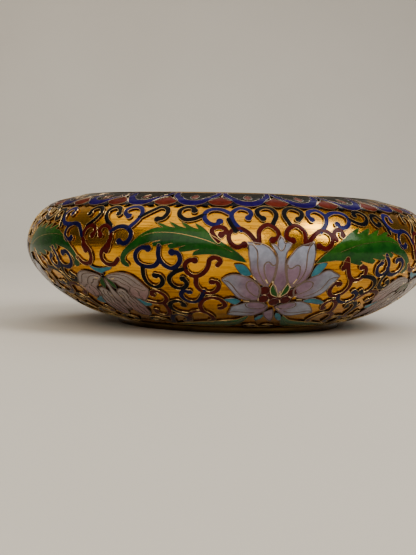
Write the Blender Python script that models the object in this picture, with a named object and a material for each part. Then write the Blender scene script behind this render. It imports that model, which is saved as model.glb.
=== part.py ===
"""Cloisonne bowl: a low gilt bowl with raised enamel flowers and leaves, a lining, a lip and a foot ring.

The origin is at the centre of the foot's underside and +Z points up. Angles go round the bowl from its
front, -Y, and grow towards +X. The ornament is drawn flat and laid on the outside of the bowl: its first
coordinate is in degrees from a flower's axis, and its second runs down from the mouth to the foot.
"""
import math
from bisect import bisect_right

import bmesh
import bpy
from mathutils import Vector
from mathutils.geometry import delaunay_2d_cdt

# Bowl, measured over the faces of the enamel
WIDEST_RADIUS = 0.0775
WIDEST_HEIGHT = 0.0290
SHOULDER_RADIUS = 0.0174
SHOULDER_SLOPE = math.radians(15.0)
SHOULDER_FLAT = 0.0071
SIDE_HANDLE = 0.0110
BASE_HANDLE = 0.0140
BASE_SLOPE = math.radians(8.2)

# Walls, coats and the clearance between pieces that touch
SHELL_WALL = 0.0012
RELIEF_HEIGHT = 0.0012
LINING_THICKNESS = 0.0006
LINING_START = 0.0012
BASE_ENAMEL_THICKNESS = 0.0006
GAP = 0.0003

# Foot and lip
FOOT_OUTER_RADIUS = 0.0425
FOOT_WIDTH = 0.0030
FOOT_HEIGHT = 0.0024
FOOT_INSET = 0.0020
LIP_WIDTH = 0.0011
LIP_SKIRT = 0.0014
LIP_RISE = 0.0001
LIP_ROUND = 0.0004

# Facets, and samples of the curve they follow
SEGMENTS = 40
FLAT_SAMPLES = 40
SHOULDER_SAMPLES = 120
SIDE_SAMPLES = 200
OUTER_STEPS = (5, 6)
INNER_STEPS = (4, 4)
FACET_ROWS = 3.4
FACET_COLUMNS = 6.4
FACET_MARGIN = 1.35

# Ornament, in the units of its drawing
DRAWN_HALF_SECTOR = 46.2
UNITS_PER_DEGREE = 1.3
LEAF_CLEARANCE = 0.2
FOOT_MARGIN = 2.5
FLOWERS = 4
FRONT_DRIFT = 1.7
RUYI_HEADS = 24
BORDER_TOP = 0.4
BORDER_BEND = 9.8
NOTCH_DEPTH = 10.6
LAPPET_DEPTH = 13.3
RUYI_DEPTH = 13.9
NOTCH_SHARE = 0.25
LAPPET_SHARE = 0.15
RUYI_SHARE = 0.37

# Right half of a lotus flower's outline, from its top petal down to its bottom petal
LOTUS_HALF = [
    (0.0, 25.6), (1.0, 27.3), (2.1, 27.8), (1.3, 31.8), (4.6, 27.7), (7.9, 26.9), (8.1, 30.6),
    (7.6, 34.4), (11.2, 34.6), (9.6, 37.8), (11.8, 37.4), (14.6, 39.6), (13.6, 42.8), (10.6, 48.2),
    (12.4, 48.8), (14.3, 50.9), (11.2, 52.5), (12.8, 55.8), (13.4, 58.4), (9.4, 60.0), (4.2, 59.4),
    (5.3, 62.2), (4.8, 64.3), (2.3, 61.6), (1.4, 64.0), (0.0, 65.6)]

# Right half of a hanging flower's outline, from its cap down to its hanging petals
HANGING_HALF = [
    (0.0, 37.5), (2.0, 37.4), (4.3, 36.8), (1.2, 39.7), (3.6, 39.7), (6.8, 39.7), (9.6, 41.5),
    (11.4, 44.2), (12.1, 46.8), (11.3, 49.8), (9.9, 51.8), (10.4, 54.0), (8.3, 55.6), (7.2, 55.9),
    (7.4, 59.6), (6.0, 62.6), (3.4, 63.0), (1.8, 60.2), (0.0, 59.2)]

# An upper leaf, from its stem along the toothed upper edge to the curled tip and back along the lower edge
UPPER_LEAF = [
    (8.7, 33.6), (9.4, 31.6), (12.8, 28.6), (16.6, 25.4), (20.6, 21.5), (19.6, 23.6),
    (22.6, 22.0), (24.0, 21.2), (22.7, 23.3), (25.2, 21.8), (26.9, 21.2), (25.4, 23.2), (28.0, 22.2),
    (29.9, 21.8), (28.6, 23.2), (31.4, 24.2), (33.8, 26.2), (36.8, 29.8), (38.5, 32.0), (39.0, 34.4),
    (38.0, 36.4), (36.8, 36.2), (36.9, 33.6), (34.0, 30.4), (31.6, 28.5), (28.4, 27.4), (29.7, 29.6),
    (27.9, 29.5), (25.6, 28.3), (26.0, 30.2), (22.6, 28.9), (23.6, 31.1), (19.6, 30.0), (20.8, 32.1),
    (16.2, 31.8), (12.8, 32.3), (10.6, 33.2)]

# A lower leaf, from its stem along the upper edge to the tip and back along the lower edge
LOWER_LEAF = [
    (6.6, 62.4), (9.5, 62.4), (17.0, 64.4), (25.0, 66.9), (31.0, 69.0), (37.0, 71.4), (28.0, 72.3),
    (14.0, 71.2), (7.6, 65.0)]

# The relief ends below the lowest leaf, and the drawing a margin further down, at the foot
RELIEF_END = max(y for x, y in LOWER_LEAF) + LEAF_CLEARANCE
DRAWING_LENGTH = RELIEF_END + FOOT_MARGIN


def outer_profile():
    """Closely spaced (distance down, radius, height) points of the enamel surface, from mouth to foot."""
    slope_end = math.pi / 2 - SHOULDER_SLOPE
    centre = WIDEST_RADIUS - SHOULDER_RADIUS
    bend = Vector((centre + SHOULDER_RADIUS * math.cos(slope_end),
                   WIDEST_HEIGHT + SHOULDER_RADIUS * math.sin(slope_end)))
    mouth = bend + Vector((-SHOULDER_FLAT, SHOULDER_FLAT * math.tan(SHOULDER_SLOPE)))
    points = [mouth.lerp(bend, i / FLAT_SAMPLES) for i in range(FLAT_SAMPLES)]
    for i in range(SHOULDER_SAMPLES):
        turn = slope_end * (1 - i / SHOULDER_SAMPLES)
        points.append(Vector((centre + SHOULDER_RADIUS * math.cos(turn),
                              WIDEST_HEIGHT + SHOULDER_RADIUS * math.sin(turn))))
    widest = Vector((WIDEST_RADIUS, WIDEST_HEIGHT))
    base = Vector((FOOT_OUTER_RADIUS + FOOT_INSET, FOOT_HEIGHT))
    handles = (widest, widest - Vector((0, SIDE_HANDLE)),
               base + BASE_HANDLE * Vector((math.cos(BASE_SLOPE), math.sin(BASE_SLOPE))), base)
    for i in range(SIDE_SAMPLES + 1):
        t = i / SIDE_SAMPLES
        weights = ((1 - t) ** 3, 3 * (1 - t) ** 2 * t, 3 * (1 - t) * t ** 2, t ** 3)
        points.append(sum((w * h for w, h in zip(weights, handles)), Vector((0, 0))))
    rows = [(0.0, points[0].x, points[0].y)]
    for before, after in zip(points, points[1:]):
        rows.append((rows[-1][0] + (after - before).length, after.x, after.y))
    return rows


PROFILE = outer_profile()
DISTANCES = [row[0] for row in PROFILE]
PROFILE_LENGTH = DISTANCES[-1]
SHOULDER_START = DISTANCES[FLAT_SAMPLES]
SIDE_START = DISTANCES[FLAT_SAMPLES + SHOULDER_SAMPLES]


def section_point(distance, depth):
    """Radius and height of the point that lies depth below the enamel surface, distance down from the mouth."""
    place = min(max(bisect_right(DISTANCES, distance), 1), len(PROFILE) - 1)
    start, r0, z0 = PROFILE[place - 1]
    end, r1, z1 = PROFILE[place]
    share = (distance - start) / (end - start)
    along = Vector((r1 - r0, z1 - z0)).normalized()
    return (r0 + share * (r1 - r0) + depth * along.y, z0 + share * (z1 - z0) - depth * along.x)


def ground_depth(distance):
    """Depth of the gold ground under the enamel faces: it rises to meet the foot below the last leaves."""
    fade_start = RELIEF_END / DRAWING_LENGTH * PROFILE_LENGTH
    share = min(max((distance - fade_start) / (PROFILE_LENGTH - fade_start), 0.0), 1.0)
    return RELIEF_HEIGHT + (GAP - RELIEF_HEIGHT) * share


def around(angle, radius, height):
    """The point at an angle in degrees from the front."""
    turn = math.radians(angle)
    return Vector((radius * math.sin(turn), -radius * math.cos(turn), height))


def laid(angle, down, depth):
    """A point of the drawing on the bowl, at an angle in degrees and a drawing height, below the enamel face."""
    return around(angle, *section_point(down / DRAWING_LENGTH * PROFILE_LENGTH, depth))


def drifted(angle):
    """Angles as they were laid out by hand, a little wider at the front than at the back."""
    return angle + FRONT_DRIFT * math.sin(math.radians(angle))


def finish(name, build, material):
    """Turn a finished bmesh into a named object with smooth rounds and crisp edges."""
    bmesh.ops.recalc_face_normals(build, faces=build.faces)
    mesh = bpy.data.meshes.new(name)
    build.to_mesh(mesh)
    build.free()
    mesh.shade_smooth()
    mesh.set_sharp_from_angle(angle=math.radians(35))
    mesh.materials.append(material)
    piece = bpy.data.objects.new(name, mesh)
    bpy.context.collection.objects.link(piece)
    return piece


def bridge(build, upper, lower):
    """Faces between two closed loops, one of which may have a few vertices to each one of the other."""
    if len(upper) > len(lower):
        upper, lower = lower, upper
    ratio = len(lower) // len(upper)
    for i in range(len(upper)):
        corners = [upper[(i + 1) % len(upper)], upper[i]]
        corners += [lower[(i * ratio + k) % len(lower)] for k in range(ratio + 1)]
        build.faces.new(list(dict.fromkeys(corners)))


def turned(name, section, material):
    """A piece turned round the axis: a closed section makes a ring, one that ends on the axis a closed bowl."""
    build = bmesh.new()
    rings = []
    for radius, height in section:
        if radius == 0.0:
            rings.append([build.verts.new((0, 0, height))] * SEGMENTS)
            continue
        rings.append([build.verts.new(around(360 * i / SEGMENTS, radius, height)) for i in range(SEGMENTS)])
    pairs = list(zip(rings, rings[1:]))
    if section[0][0] > 0.0:
        pairs.append((rings[-1], rings[0]))
    for upper, lower in pairs:
        bridge(build, upper, lower)
    return finish(name, build, material)


def skin(start, steps, extra_depth):
    """Section points at a depth under the gold ground, from a distance below the mouth down to the foot."""
    shoulder_steps, side_steps = steps
    fade_start = RELIEF_END / DRAWING_LENGTH * PROFILE_LENGTH
    stations = [start]
    stations += [SHOULDER_START + (SIDE_START - SHOULDER_START) * i / shoulder_steps
                 for i in range(shoulder_steps)]
    stations += [SIDE_START + (fade_start - SIDE_START) * i / side_steps for i in range(side_steps + 1)]
    stations.append(PROFILE_LENGTH)
    return [section_point(s, ground_depth(s) + extra_depth) for s in stations]


def bowl_body(material):
    """The gilt shell: the gold ground outside, a plain wall inside and a flat bottom."""
    outside = skin(0.0, OUTER_STEPS, 0.0)
    inside = skin(0.0, INNER_STEPS, SHELL_WALL)
    section = [(0.0, inside[-1][1])] + inside[::-1] + outside + [(0.0, outside[-1][1])]
    return turned("bowl_body", section, material)


def inner_enamel(material):
    """The coat of enamel inside the shell, open at the mouth below the lip."""
    against_shell = skin(LINING_START, INNER_STEPS, SHELL_WALL + GAP)
    face = skin(LINING_START, INNER_STEPS, SHELL_WALL + GAP + LINING_THICKNESS)
    section = [(0.0, face[-1][1])] + face[::-1] + against_shell + [(0.0, against_shell[-1][1])]
    return turned("inner_enamel", section, material)


def base_enamel(material):
    """The enamel disc under the shell, inside the foot ring."""
    radius = FOOT_OUTER_RADIUS - FOOT_WIDTH - GAP
    top = FOOT_HEIGHT
    low = top - BASE_ENAMEL_THICKNESS
    return turned("base_enamel", [(0.0, top), (radius, top), (radius, low), (0.0, low)], material)


def foot_ring(material):
    """The ring that the bowl stands on."""
    inner = FOOT_OUTER_RADIUS - FOOT_WIDTH
    section = [(FOOT_OUTER_RADIUS, FOOT_HEIGHT), (FOOT_OUTER_RADIUS, 0.0), (inner, 0.0), (inner, FOOT_HEIGHT)]
    return turned("foot_ring", section, material)


def mouth_rim(material):
    """The lip: a rounded bead over the edge of the shell, with a short skirt inside the mouth."""
    face_r, face_z = section_point(0.0, 0.0)
    ground_r, ground_z = section_point(0.0, RELIEF_HEIGHT)
    wall_r = section_point(0.0, RELIEF_HEIGHT + SHELL_WALL)[0]
    outer = face_r - GAP
    seat = wall_r - GAP
    inner = seat - LIP_WIDTH
    top = face_z + LIP_RISE
    skirt = ground_z + GAP - LIP_SKIRT
    section = [(outer, ground_z + GAP), (outer, top - LIP_ROUND), ((outer + inner) / 2, top),
               (inner, skirt), (seat, skirt), (seat, ground_z + GAP)]
    return turned("mouth_rim", section, material)


def border_outline():
    """Angle and drawing height of the border's lower edge, lappet by lappet and ruyi by ruyi."""
    pitch = 360 / RUYI_HEADS
    points = []
    for head in range(RUYI_HEADS):
        start = head * pitch
        for share, depth in ((NOTCH_SHARE, NOTCH_DEPTH), (RUYI_SHARE, RUYI_DEPTH), (1 - RUYI_SHARE, RUYI_DEPTH),
                             (1 - NOTCH_SHARE, NOTCH_DEPTH), (1 - LAPPET_SHARE, LAPPET_DEPTH),
                             (1 + LAPPET_SHARE, LAPPET_DEPTH)):
            points.append((start + share * pitch, depth))
    return points


def ruyi_border(material):
    """The fused ring of ruyi heads and lappets round the shoulder, with its scalloped lower edge."""
    build = bmesh.new()
    thickness = RELIEF_HEIGHT - GAP
    edge = border_outline()
    rows = [[(angle, BORDER_TOP) for angle, down in edge[::3]],
            [(angle, BORDER_BEND) for angle, down in edge], edge]
    loops = []
    for depth, order in ((0.0, 1), (thickness, -1)):
        for row in rows[::order]:
            loops.append([build.verts.new(laid(angle, down, depth)) for angle, down in row])
    for first, second in zip(loops, loops[1:] + loops[:1]):
        bridge(build, first, second)
    return finish("ruyi_border", build, material)


def is_inside(point, outline):
    """Whether a point of the drawing lies inside a closed outline."""
    inside = False
    for a, b in zip(outline, outline[1:] + outline[:1]):
        if (a.y > point.y) != (b.y > point.y):
            if point.x < a.x + (point.y - a.y) / (b.y - a.y) * (b.x - a.x):
                inside = not inside
    return inside


def edge_distance(point, outline):
    """Distance from a point of the drawing to the nearest side of an outline."""
    nearest = math.inf
    for a, b in zip(outline, outline[1:] + outline[:1]):
        side = b - a
        share = min(max((point - a).dot(side) / side.length_squared, 0.0), 1.0)
        nearest = min(nearest, (point - a - share * side).length)
    return nearest


def inner_points(outline):
    """Points inside an outline that let a plate follow the curve of the bowl."""
    low_x = min(p.x for p in outline)
    high_x = max(p.x for p in outline)
    low_y = min(p.y for p in outline)
    high_y = max(p.y for p in outline)
    points = []
    for row in range(int((high_y - low_y) / FACET_ROWS) + 1):
        for column in range(int((high_x - low_x) / FACET_COLUMNS) + 1):
            stagger = 0.5 * (row % 2)
            point = Vector((low_x + (column + stagger) * FACET_COLUMNS, low_y + row * FACET_ROWS))
            if is_inside(point, outline) and edge_distance(point, outline) > FACET_MARGIN:
                points.append(point)
    return points


def plate(name, drawing, axis, side, material):
    """A raised enamel plate: the drawn outline laid on the bowl beside a flower's axis, and given its thickness."""
    outline = [Vector((x * UNITS_PER_DEGREE, y)) for x, y in drawing]
    points = outline + inner_points(outline)
    loop = list(range(len(outline)))
    edges = list(zip(loop, loop[1:] + loop[:1]))
    points, edges, faces = delaunay_2d_cdt(points, edges, [loop], 1, 1e-6)[:3]
    sector = 180 / FLOWERS / DRAWN_HALF_SECTOR
    angles = [drifted(axis + side * p.x / UNITS_PER_DEGREE * sector) for p in points]
    build = bmesh.new()
    used = sorted({i for face in faces for i in face})
    front = {i: build.verts.new(laid(angles[i], points[i].y, 0.0)) for i in used}
    back = {i: build.verts.new(laid(angles[i], points[i].y, RELIEF_HEIGHT - GAP)) for i in used}
    half_edges = set()
    for face in faces:
        build.faces.new([front[i] for i in face])
        build.faces.new([back[i] for i in reversed(face)])
        half_edges.update(zip(face, list(face[1:]) + [face[0]]))
    for i, j in half_edges:
        if (j, i) not in half_edges:
            build.faces.new([front[i], back[i], back[j], front[j]])
    return finish(name, build, material)


def whole(half):
    """A symmetric outline from its right half, whose first and last points lie on the axis."""
    return half + [(-x, y) for x, y in half[-2:0:-1]]


def coat(name, colour, metallic, roughness):
    """A plain material of one colour."""
    material = bpy.data.materials.new(name)
    material.use_nodes = True
    shader = material.node_tree.nodes["Principled BSDF"]
    shader.inputs["Base Color"].default_value = (*colour, 1.0)
    shader.inputs["Metallic"].default_value = metallic
    shader.inputs["Roughness"].default_value = roughness
    return material


def build_bowl():
    """Make every piece of the bowl in an empty scene."""
    for old in list(bpy.data.objects):
        bpy.data.objects.remove(old, do_unlink=True)
    gilt = coat("gilt_copper", (0.80, 0.52, 0.14), 1.0, 0.28)
    turquoise = coat("turquoise_enamel", (0.05, 0.32, 0.36), 0.0, 0.18)
    cobalt = coat("cobalt_enamel", (0.03, 0.04, 0.30), 0.0, 0.18)
    blossom = coat("petal_enamel", (0.50, 0.46, 0.55), 0.0, 0.20)
    green = coat("green_enamel", (0.02, 0.14, 0.03), 0.0, 0.18)
    bowl_body(gilt)
    mouth_rim(gilt)
    foot_ring(gilt)
    inner_enamel(turquoise)
    base_enamel(turquoise)
    ruyi_border(cobalt)
    pitch = 360 / FLOWERS
    for number in range(FLOWERS):
        lotus_axis = number * pitch
        plate(f"lotus_flower_{number + 1}", whole(LOTUS_HALF), lotus_axis, 1, blossom)
        plate(f"hanging_flower_{number + 1}", whole(HANGING_HALF), lotus_axis + pitch / 2, 1, blossom)
        for copy, side in ((1, 1), (2, -1)):
            plate(f"upper_leaf_{2 * number + copy}", UPPER_LEAF, lotus_axis, side, green)
            plate(f"lower_leaf_{2 * number + copy}", LOWER_LEAF, lotus_axis, side, green)


build_bowl()
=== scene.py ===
import math

import bpy
import numpy as np
from mathutils import Euler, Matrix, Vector
from mathutils.geometry import delaunay_2d_cdt


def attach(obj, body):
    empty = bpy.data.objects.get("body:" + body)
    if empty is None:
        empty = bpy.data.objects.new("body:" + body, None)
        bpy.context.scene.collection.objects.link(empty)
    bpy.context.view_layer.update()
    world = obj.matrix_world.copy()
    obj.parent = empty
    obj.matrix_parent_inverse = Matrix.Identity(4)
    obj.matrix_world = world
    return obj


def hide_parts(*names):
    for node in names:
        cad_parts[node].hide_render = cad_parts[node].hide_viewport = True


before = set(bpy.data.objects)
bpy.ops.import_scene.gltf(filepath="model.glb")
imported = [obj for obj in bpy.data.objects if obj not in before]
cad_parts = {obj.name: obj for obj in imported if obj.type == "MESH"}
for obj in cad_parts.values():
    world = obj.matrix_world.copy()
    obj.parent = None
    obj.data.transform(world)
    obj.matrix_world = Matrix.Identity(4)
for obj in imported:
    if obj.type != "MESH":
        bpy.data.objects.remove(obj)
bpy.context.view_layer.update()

# The bowl's outside over the enamel faces, in metres
WIDEST_RADIUS = 0.0775
WIDEST_HEIGHT = 0.0290
SHOULDER_RADIUS = 0.0174
SHOULDER_SLOPE = math.radians(15.0)
SHOULDER_FLAT = 0.0071
SIDE_HANDLE = 0.0110
BASE_HANDLE = 0.0140
BASE_SLOPE = math.radians(8.2)
BASE_RADIUS = 0.0445
BASE_HEIGHT = 0.0024
PROFILE_SAMPLES = 240

# Depths under the enamel faces, in metres
GROUND_DEPTH = 0.0012
FOOT_DEPTH = 0.0003
SHELL_WALL = 0.0012
GROUND_RISE = 0.36
CLEARANCE = 0.0003
LINING_THICKNESS = 0.0006
LINING_START = 0.0012

# The drawing on it: degrees from a flower's axis, and millimetres down from the mouth
DRAWING_LENGTH = 75.0
RELIEF_END = 72.5
HALF_SECTOR = 46.2
FRONT_DRIFT = 1.7
FLOWERS = 4
RUYI_HEADS = 24

# Enamel and wires, in millimetres
WIRE_TOP = 0.16
WIRE_HALF = 0.085
LINE_HALF = 0.22
WIRE_FOOT = 1.28
FACE = 0.22
FACE_DIP = 0.05
STEP = 0.42
GRID = 0.95

TURNS = 288


def outer_profile():
    """Distance down from the mouth, radius and height along the outside of the enamel."""
    slope_end = math.pi / 2 - SHOULDER_SLOPE
    centre = WIDEST_RADIUS - SHOULDER_RADIUS
    bend = np.array((centre + SHOULDER_RADIUS * math.cos(slope_end),
                     WIDEST_HEIGHT + SHOULDER_RADIUS * math.sin(slope_end)))
    mouth = bend + (-SHOULDER_FLAT, SHOULDER_FLAT * math.tan(SHOULDER_SLOPE))
    share = np.linspace(0, 1, PROFILE_SAMPLES, endpoint=False)[:, None]
    flat = mouth + share * (bend - mouth)
    turn = slope_end * (1 - share)
    shoulder = np.hstack((centre + SHOULDER_RADIUS * np.cos(turn), WIDEST_HEIGHT + SHOULDER_RADIUS * np.sin(turn)))
    widest = np.array((WIDEST_RADIUS, WIDEST_HEIGHT))
    base = np.array((BASE_RADIUS, BASE_HEIGHT))
    under = widest - (0, SIDE_HANDLE)
    over = base + BASE_HANDLE * np.array((math.cos(BASE_SLOPE), math.sin(BASE_SLOPE)))
    t = np.linspace(0, 1, PROFILE_SAMPLES + 1)[:, None]
    side = (1 - t) ** 3 * widest + 3 * (1 - t) ** 2 * t * under + 3 * (1 - t) * t ** 2 * over + t ** 3 * base
    points = np.vstack((flat, shoulder, side))
    length = np.concatenate(((0,), np.cumsum(np.hypot(*np.diff(points, axis=0).T))))
    return length, points


LENGTH, SECTION = outer_profile()
TANGENT = np.gradient(SECTION, LENGTH, axis=0)
TANGENT /= np.hypot(*TANGENT.T)[:, None]


def section_at(distance, depth):
    """Radius and height at a depth under the enamel face, in metres."""
    radius, height, out, up = (np.interp(distance, LENGTH, row) for row in (*SECTION.T, *TANGENT.T))
    return radius + depth * up, height - depth * out


def around(angle, radius, height):
    """Points at angles in degrees from the front, as an array of positions."""
    turn = np.radians(angle)
    return np.stack(np.broadcast_arrays(radius * np.sin(turn), -radius * np.cos(turn), height), axis=-1)


def ground_depth(distance):
    """Depth of the gilt ground, which rises to meet the foot below the last leaves."""
    start = RELIEF_END / DRAWING_LENGTH * LENGTH[-1]
    return np.interp(distance, (start, LENGTH[-1]), (GROUND_DEPTH, FOOT_DEPTH))


def worn_depth(distance):
    """Depth of the ground's surface, built up a little where the wires were soldered to it."""
    return ground_depth(distance) * (1 - GROUND_RISE)


def millimetres_per_degree(down):
    """Width of a degree of the drawing at a height of it."""
    return np.interp(np.asarray(down) / DRAWING_LENGTH * LENGTH[-1], LENGTH, SECTION[:, 0]) * 1000 * math.pi / 180


def drifted(angle):
    """Angles as they were laid out by hand, a little wider at the front than at the back."""
    return angle + FRONT_DRIFT * np.sin(np.radians(angle))


# Meshes

def add_mesh(name, points, faces, material, nodes, down=None, wash=None, crease=50):
    """One named piece of the bowl, with the values its finish is painted by."""
    mesh = bpy.data.meshes.new(name)
    mesh.from_pydata(points.tolist(), [], faces)
    for label, values in (("down", down), ("wash", wash)):
        if values is not None:
            mesh.attributes.new(label, "FLOAT", "POINT").data.foreach_set("value", np.asarray(values, np.float32))
    mesh.shade_smooth()
    mesh.set_sharp_from_angle(angle=math.radians(crease))
    mesh.materials.append(material)
    piece = bpy.data.objects.new(name, mesh)
    bpy.context.scene.collection.objects.link(piece)
    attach(piece, "root")
    if nodes:
        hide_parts(*nodes)
    return piece


def turned(name, section, down, material, nodes, closed=False, crease=50):
    """A piece turned round the axis from a section of radius and height, listed so that it faces out."""
    section = np.asarray(section)
    angle = np.arange(TURNS) * 360 / TURNS
    rows = len(section)
    points = around(angle[None, :], section[:, :1], section[:, 1:]).reshape(-1, 3)
    faces = []
    for row in range(rows if closed else rows - 1):
        below = (row + 1) % rows
        for i in range(TURNS):
            j = (i + 1) % TURNS
            faces.append((row * TURNS + i, below * TURNS + i, below * TURNS + j, row * TURNS + j))
    if not closed:
        for row, order in ((0, 1), (rows - 1, -1)):
            if section[row, 0] < 1e-3:
                faces.append(tuple(row * TURNS + i for i in range(TURNS))[::order])
    return add_mesh(name, points, faces, material, nodes, down=np.repeat(down, TURNS), crease=crease)


# Drawing: every outline is a list of points, and a third value marks a sharp corner

def smooth(points):
    """An open run of points as a smooth curve, sampled evenly."""
    points = np.asarray(points, float)
    if len(points) == 2:
        bend = points
    else:
        padded = np.vstack((2 * points[0] - points[1], points, 2 * points[-1] - points[-2]))
        bend = catmull(padded)
    return even(bend)


def catmull(padded):
    """Catmull-Rom curve between the second and the last but one of a list of points."""
    t = np.linspace(0, 1, 16, endpoint=False)[:, None]
    runs = []
    for a, b, c, d in zip(padded, padded[1:], padded[2:], padded[3:]):
        reach = np.linalg.norm(c - b)
        into = (c - a) / (np.linalg.norm(c - b) + np.linalg.norm(b - a)) * reach
        out = (d - b) / (np.linalg.norm(d - c) + np.linalg.norm(c - b)) * reach
        runs.append((2 * t ** 3 - 3 * t ** 2 + 1) * b + (t ** 3 - 2 * t ** 2 + t) * into
                    + (3 * t ** 2 - 2 * t ** 3) * c + (t ** 3 - t ** 2) * out)
    runs.append(padded[-2:-1])
    return np.vstack(runs)


def measured(points):
    """Drawing points as flat millimetres, near enough for lengths and widths."""
    return points * np.stack((millimetres_per_degree(points[:, 1]), np.ones(len(points))), axis=-1)


def even(points, step=STEP):
    """The same curve with evenly spaced points."""
    gaps = measured_gaps(points)
    length = np.concatenate(((0,), np.cumsum(gaps)))
    count = max(int(round(length[-1] / step)), 1)
    at = np.linspace(0, length[-1], count + 1)
    return np.stack([np.interp(at, length, axis) for axis in points.T], axis=-1)


def measured_gaps(points):
    """Length in millimetres between each point and the next."""
    change = np.diff(points, axis=0)
    middle = (points[1:, 1] + points[:-1, 1]) / 2
    return np.hypot(change[:, 0] * millimetres_per_degree(middle), change[:, 1])


def closed_curve(drawn):
    """A closed outline from its drawn points, smooth except at its corners. The last point isn't repeated."""
    corners = [i for i, point in enumerate(drawn) if len(point) == 3]
    points = [np.array(point[:2], float) for point in drawn]
    if not corners:
        count = len(points)
        padded = np.array([points[i % count] for i in range(-1, count + 2)])
        return even(catmull(padded))[:-1]
    start = corners[0]
    points = points[start:] + points[:start] + [points[start]]
    stops = [i - start for i in corners] + [len(drawn)]
    runs = [smooth(points[a:b + 1])[:-1] for a, b in zip(stops, stops[1:])]
    return np.vstack(runs)


def mirrored(half):
    """A symmetric outline from its right half, whose first and last points lie on the axis."""
    return half + [(-point[0], *point[1:]) for point in half[-2:0:-1]]


def flipped(drawn):
    """The left-hand copy of an outline or a line."""
    return [(-point[0], *point[1:]) for point in drawn]


def side_normals(points, closed):
    """Unit vectors to the right of a curve, in flat millimetres, turned back into drawing units."""
    scale = millimetres_per_degree(points[:, 1])
    if closed:
        change = np.roll(points, -1, axis=0) - np.roll(points, 1, axis=0)
    else:
        change = np.gradient(points, axis=0)
    dx, dy = change[:, 0] * scale, change[:, 1]
    size = np.hypot(dx, dy) + 1e-9
    return np.stack((-dy / size / scale, dx / size), axis=-1)


class Stencil:
    """Part of the drawing as a thin mesh: angle, height, depth in millimetres, and a wash of colour."""

    def __init__(self):
        self.points = []
        self.faces = []
        self.wash = []
        self.count = 0

    def add(self, points, depth, faces, wash=0.0):
        points = np.asarray(points, float)
        depth = np.broadcast_to(depth, len(points))
        self.points.append(np.column_stack((points, depth)))
        self.wash.append(np.broadcast_to(wash, len(points)))
        self.faces += [tuple(self.count + i for i in face) for face in faces]
        self.count += len(points)
        return self


def wire(stencil, points, closed=False, half=WIRE_HALF, top=WIRE_TOP, foot=WIRE_FOOT):
    """A wire on edge along a curve, rounded along its top, with dirt and painted shade washed onto its lower walls."""
    normals = side_normals(points, closed)
    shoulder = top + 0.06
    # The third value of each row marks the lower walls, which are washed with dirt and painted shade.
    section = ((-1, foot, 1), (-1, shoulder + 0.25, 1), (-1, shoulder, 0), (-0.5, top, 0),
               (0.5, top, 0), (1, shoulder, 0), (1, shoulder + 0.25, 1), (1, foot, 1))
    count = len(points)
    rows = [points + normals * half * side for side, depth, dark in section]
    depths = np.repeat([depth for side, depth, dark in section], count)
    grime_and_shade = np.repeat([dark for side, depth, dark in section], count)
    faces = []
    for row in range(len(section) - 1):
        for i in range(count if closed else count - 1):
            j = (i + 1) % count
            a, b = row * count, (row + 1) * count
            faces.append((a + i, b + i, b + j, a + j))
    if not closed:
        ends = [row * count for row in range(len(section))]
        faces.append(tuple(ends))
        faces.append(tuple(end + count - 1 for end in ends[::-1]))
    stencil.add(np.vstack(rows), depths, faces, grime_and_shade)


def inside(points, outline):
    """Which points lie inside a closed outline."""
    x, y = points.T
    found = np.zeros(len(points), bool)
    for (ax, ay), (bx, by) in zip(outline, np.roll(outline, -1, axis=0)):
        if ay != by:
            crosses = ((ay > y) != (by > y)) & (x < ax + (y - ay) / (by - ay) * (bx - ax))
            found ^= crosses
    return found


def from_edge(points, outline):
    """Distance from points to the nearest corner of a finely sampled outline, in millimetres."""
    scale = float(millimetres_per_degree(outline[:, 1].mean()))
    away = (points[:, None, :] - outline[None, :, :]) * (scale, 1)
    return np.sqrt((away ** 2).sum(axis=-1)).min(axis=1)


def cell(stencil, outline, wash=0.0, lift=0.0, grid=GRID):
    """The enamel inside one closed wire: level in the middle and a little lower along the wire."""
    scale = float(millimetres_per_degree(outline[:, 1].mean()))
    low, high = outline.min(axis=0), outline.max(axis=0)
    columns = np.arange(low[0], high[0], grid / scale)
    rows = np.arange(low[1], high[1], grid)
    spots = np.array([(x + (k % 2) * grid / scale / 2, y) for k, y in enumerate(rows) for x in columns])
    if len(spots):
        spots = spots[inside(spots, outline)]
    if len(spots):
        spots = spots[from_edge(spots, outline) > 0.36]
    flat = np.vstack((outline, spots)) if len(spots) else outline
    loop = list(range(len(outline)))
    vectors = [Vector((x * scale, y)) for x, y in flat]
    edges = [(i, (i + 1) % len(loop)) for i in loop]
    made, _, faces, *_ = delaunay_2d_cdt(vectors, edges, [loop], 1, 1e-6)
    points = np.array([(p.x / scale, p.y) for p in made])
    depth = FACE - lift + FACE_DIP * np.exp(-(from_edge(points, outline) / 0.35) ** 2)
    tone = wash(points) if callable(wash) else wash
    stencil.add(points, depth, [tuple(face)[::-1] for face in faces], tone)


def scroll_edge(drawn, half, bulbs):
    """Centre line and half width of a scroll, which swells into a bulb at each end that has one."""
    line = smooth(drawn)
    ends = []
    for inner, end, bulb in ((1, 0, bulbs[0]), (-2, -1, bulbs[1])):
        direction = measured(line[[inner, end]])
        direction = direction[1] - direction[0]
        direction /= np.linalg.norm(direction)
        ends.append(line[end] + direction * bulb / (float(millimetres_per_degree(line[end, 1])), 1))
    line = np.vstack((ends[0], line, ends[1]))
    length = np.concatenate(((0,), np.cumsum(measured_gaps(line))))
    total = length[-1]
    first, last = bulbs
    round_in = first * (1 - np.cos(np.linspace(0, math.pi / 2, 6)))
    round_out = total - last * (1 - np.cos(np.linspace(math.pi / 2, 0, 6)))
    middle = np.linspace(first, total - last, max(int((total - first - last) / STEP), 2) + 1)[1:-1]
    at = np.concatenate((round_in, middle, round_out))
    width = np.full(len(at), half)
    for bulb, reach in ((first, at), (last, total - at)):
        swell = np.sqrt(np.clip(bulb ** 2 - (reach - bulb) ** 2, 0, None))
        width = np.where(reach < bulb, swell, np.maximum(width, swell))
    centre = np.stack([np.interp(at, length, axis) for axis in line.T], axis=-1)
    return centre, width


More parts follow.
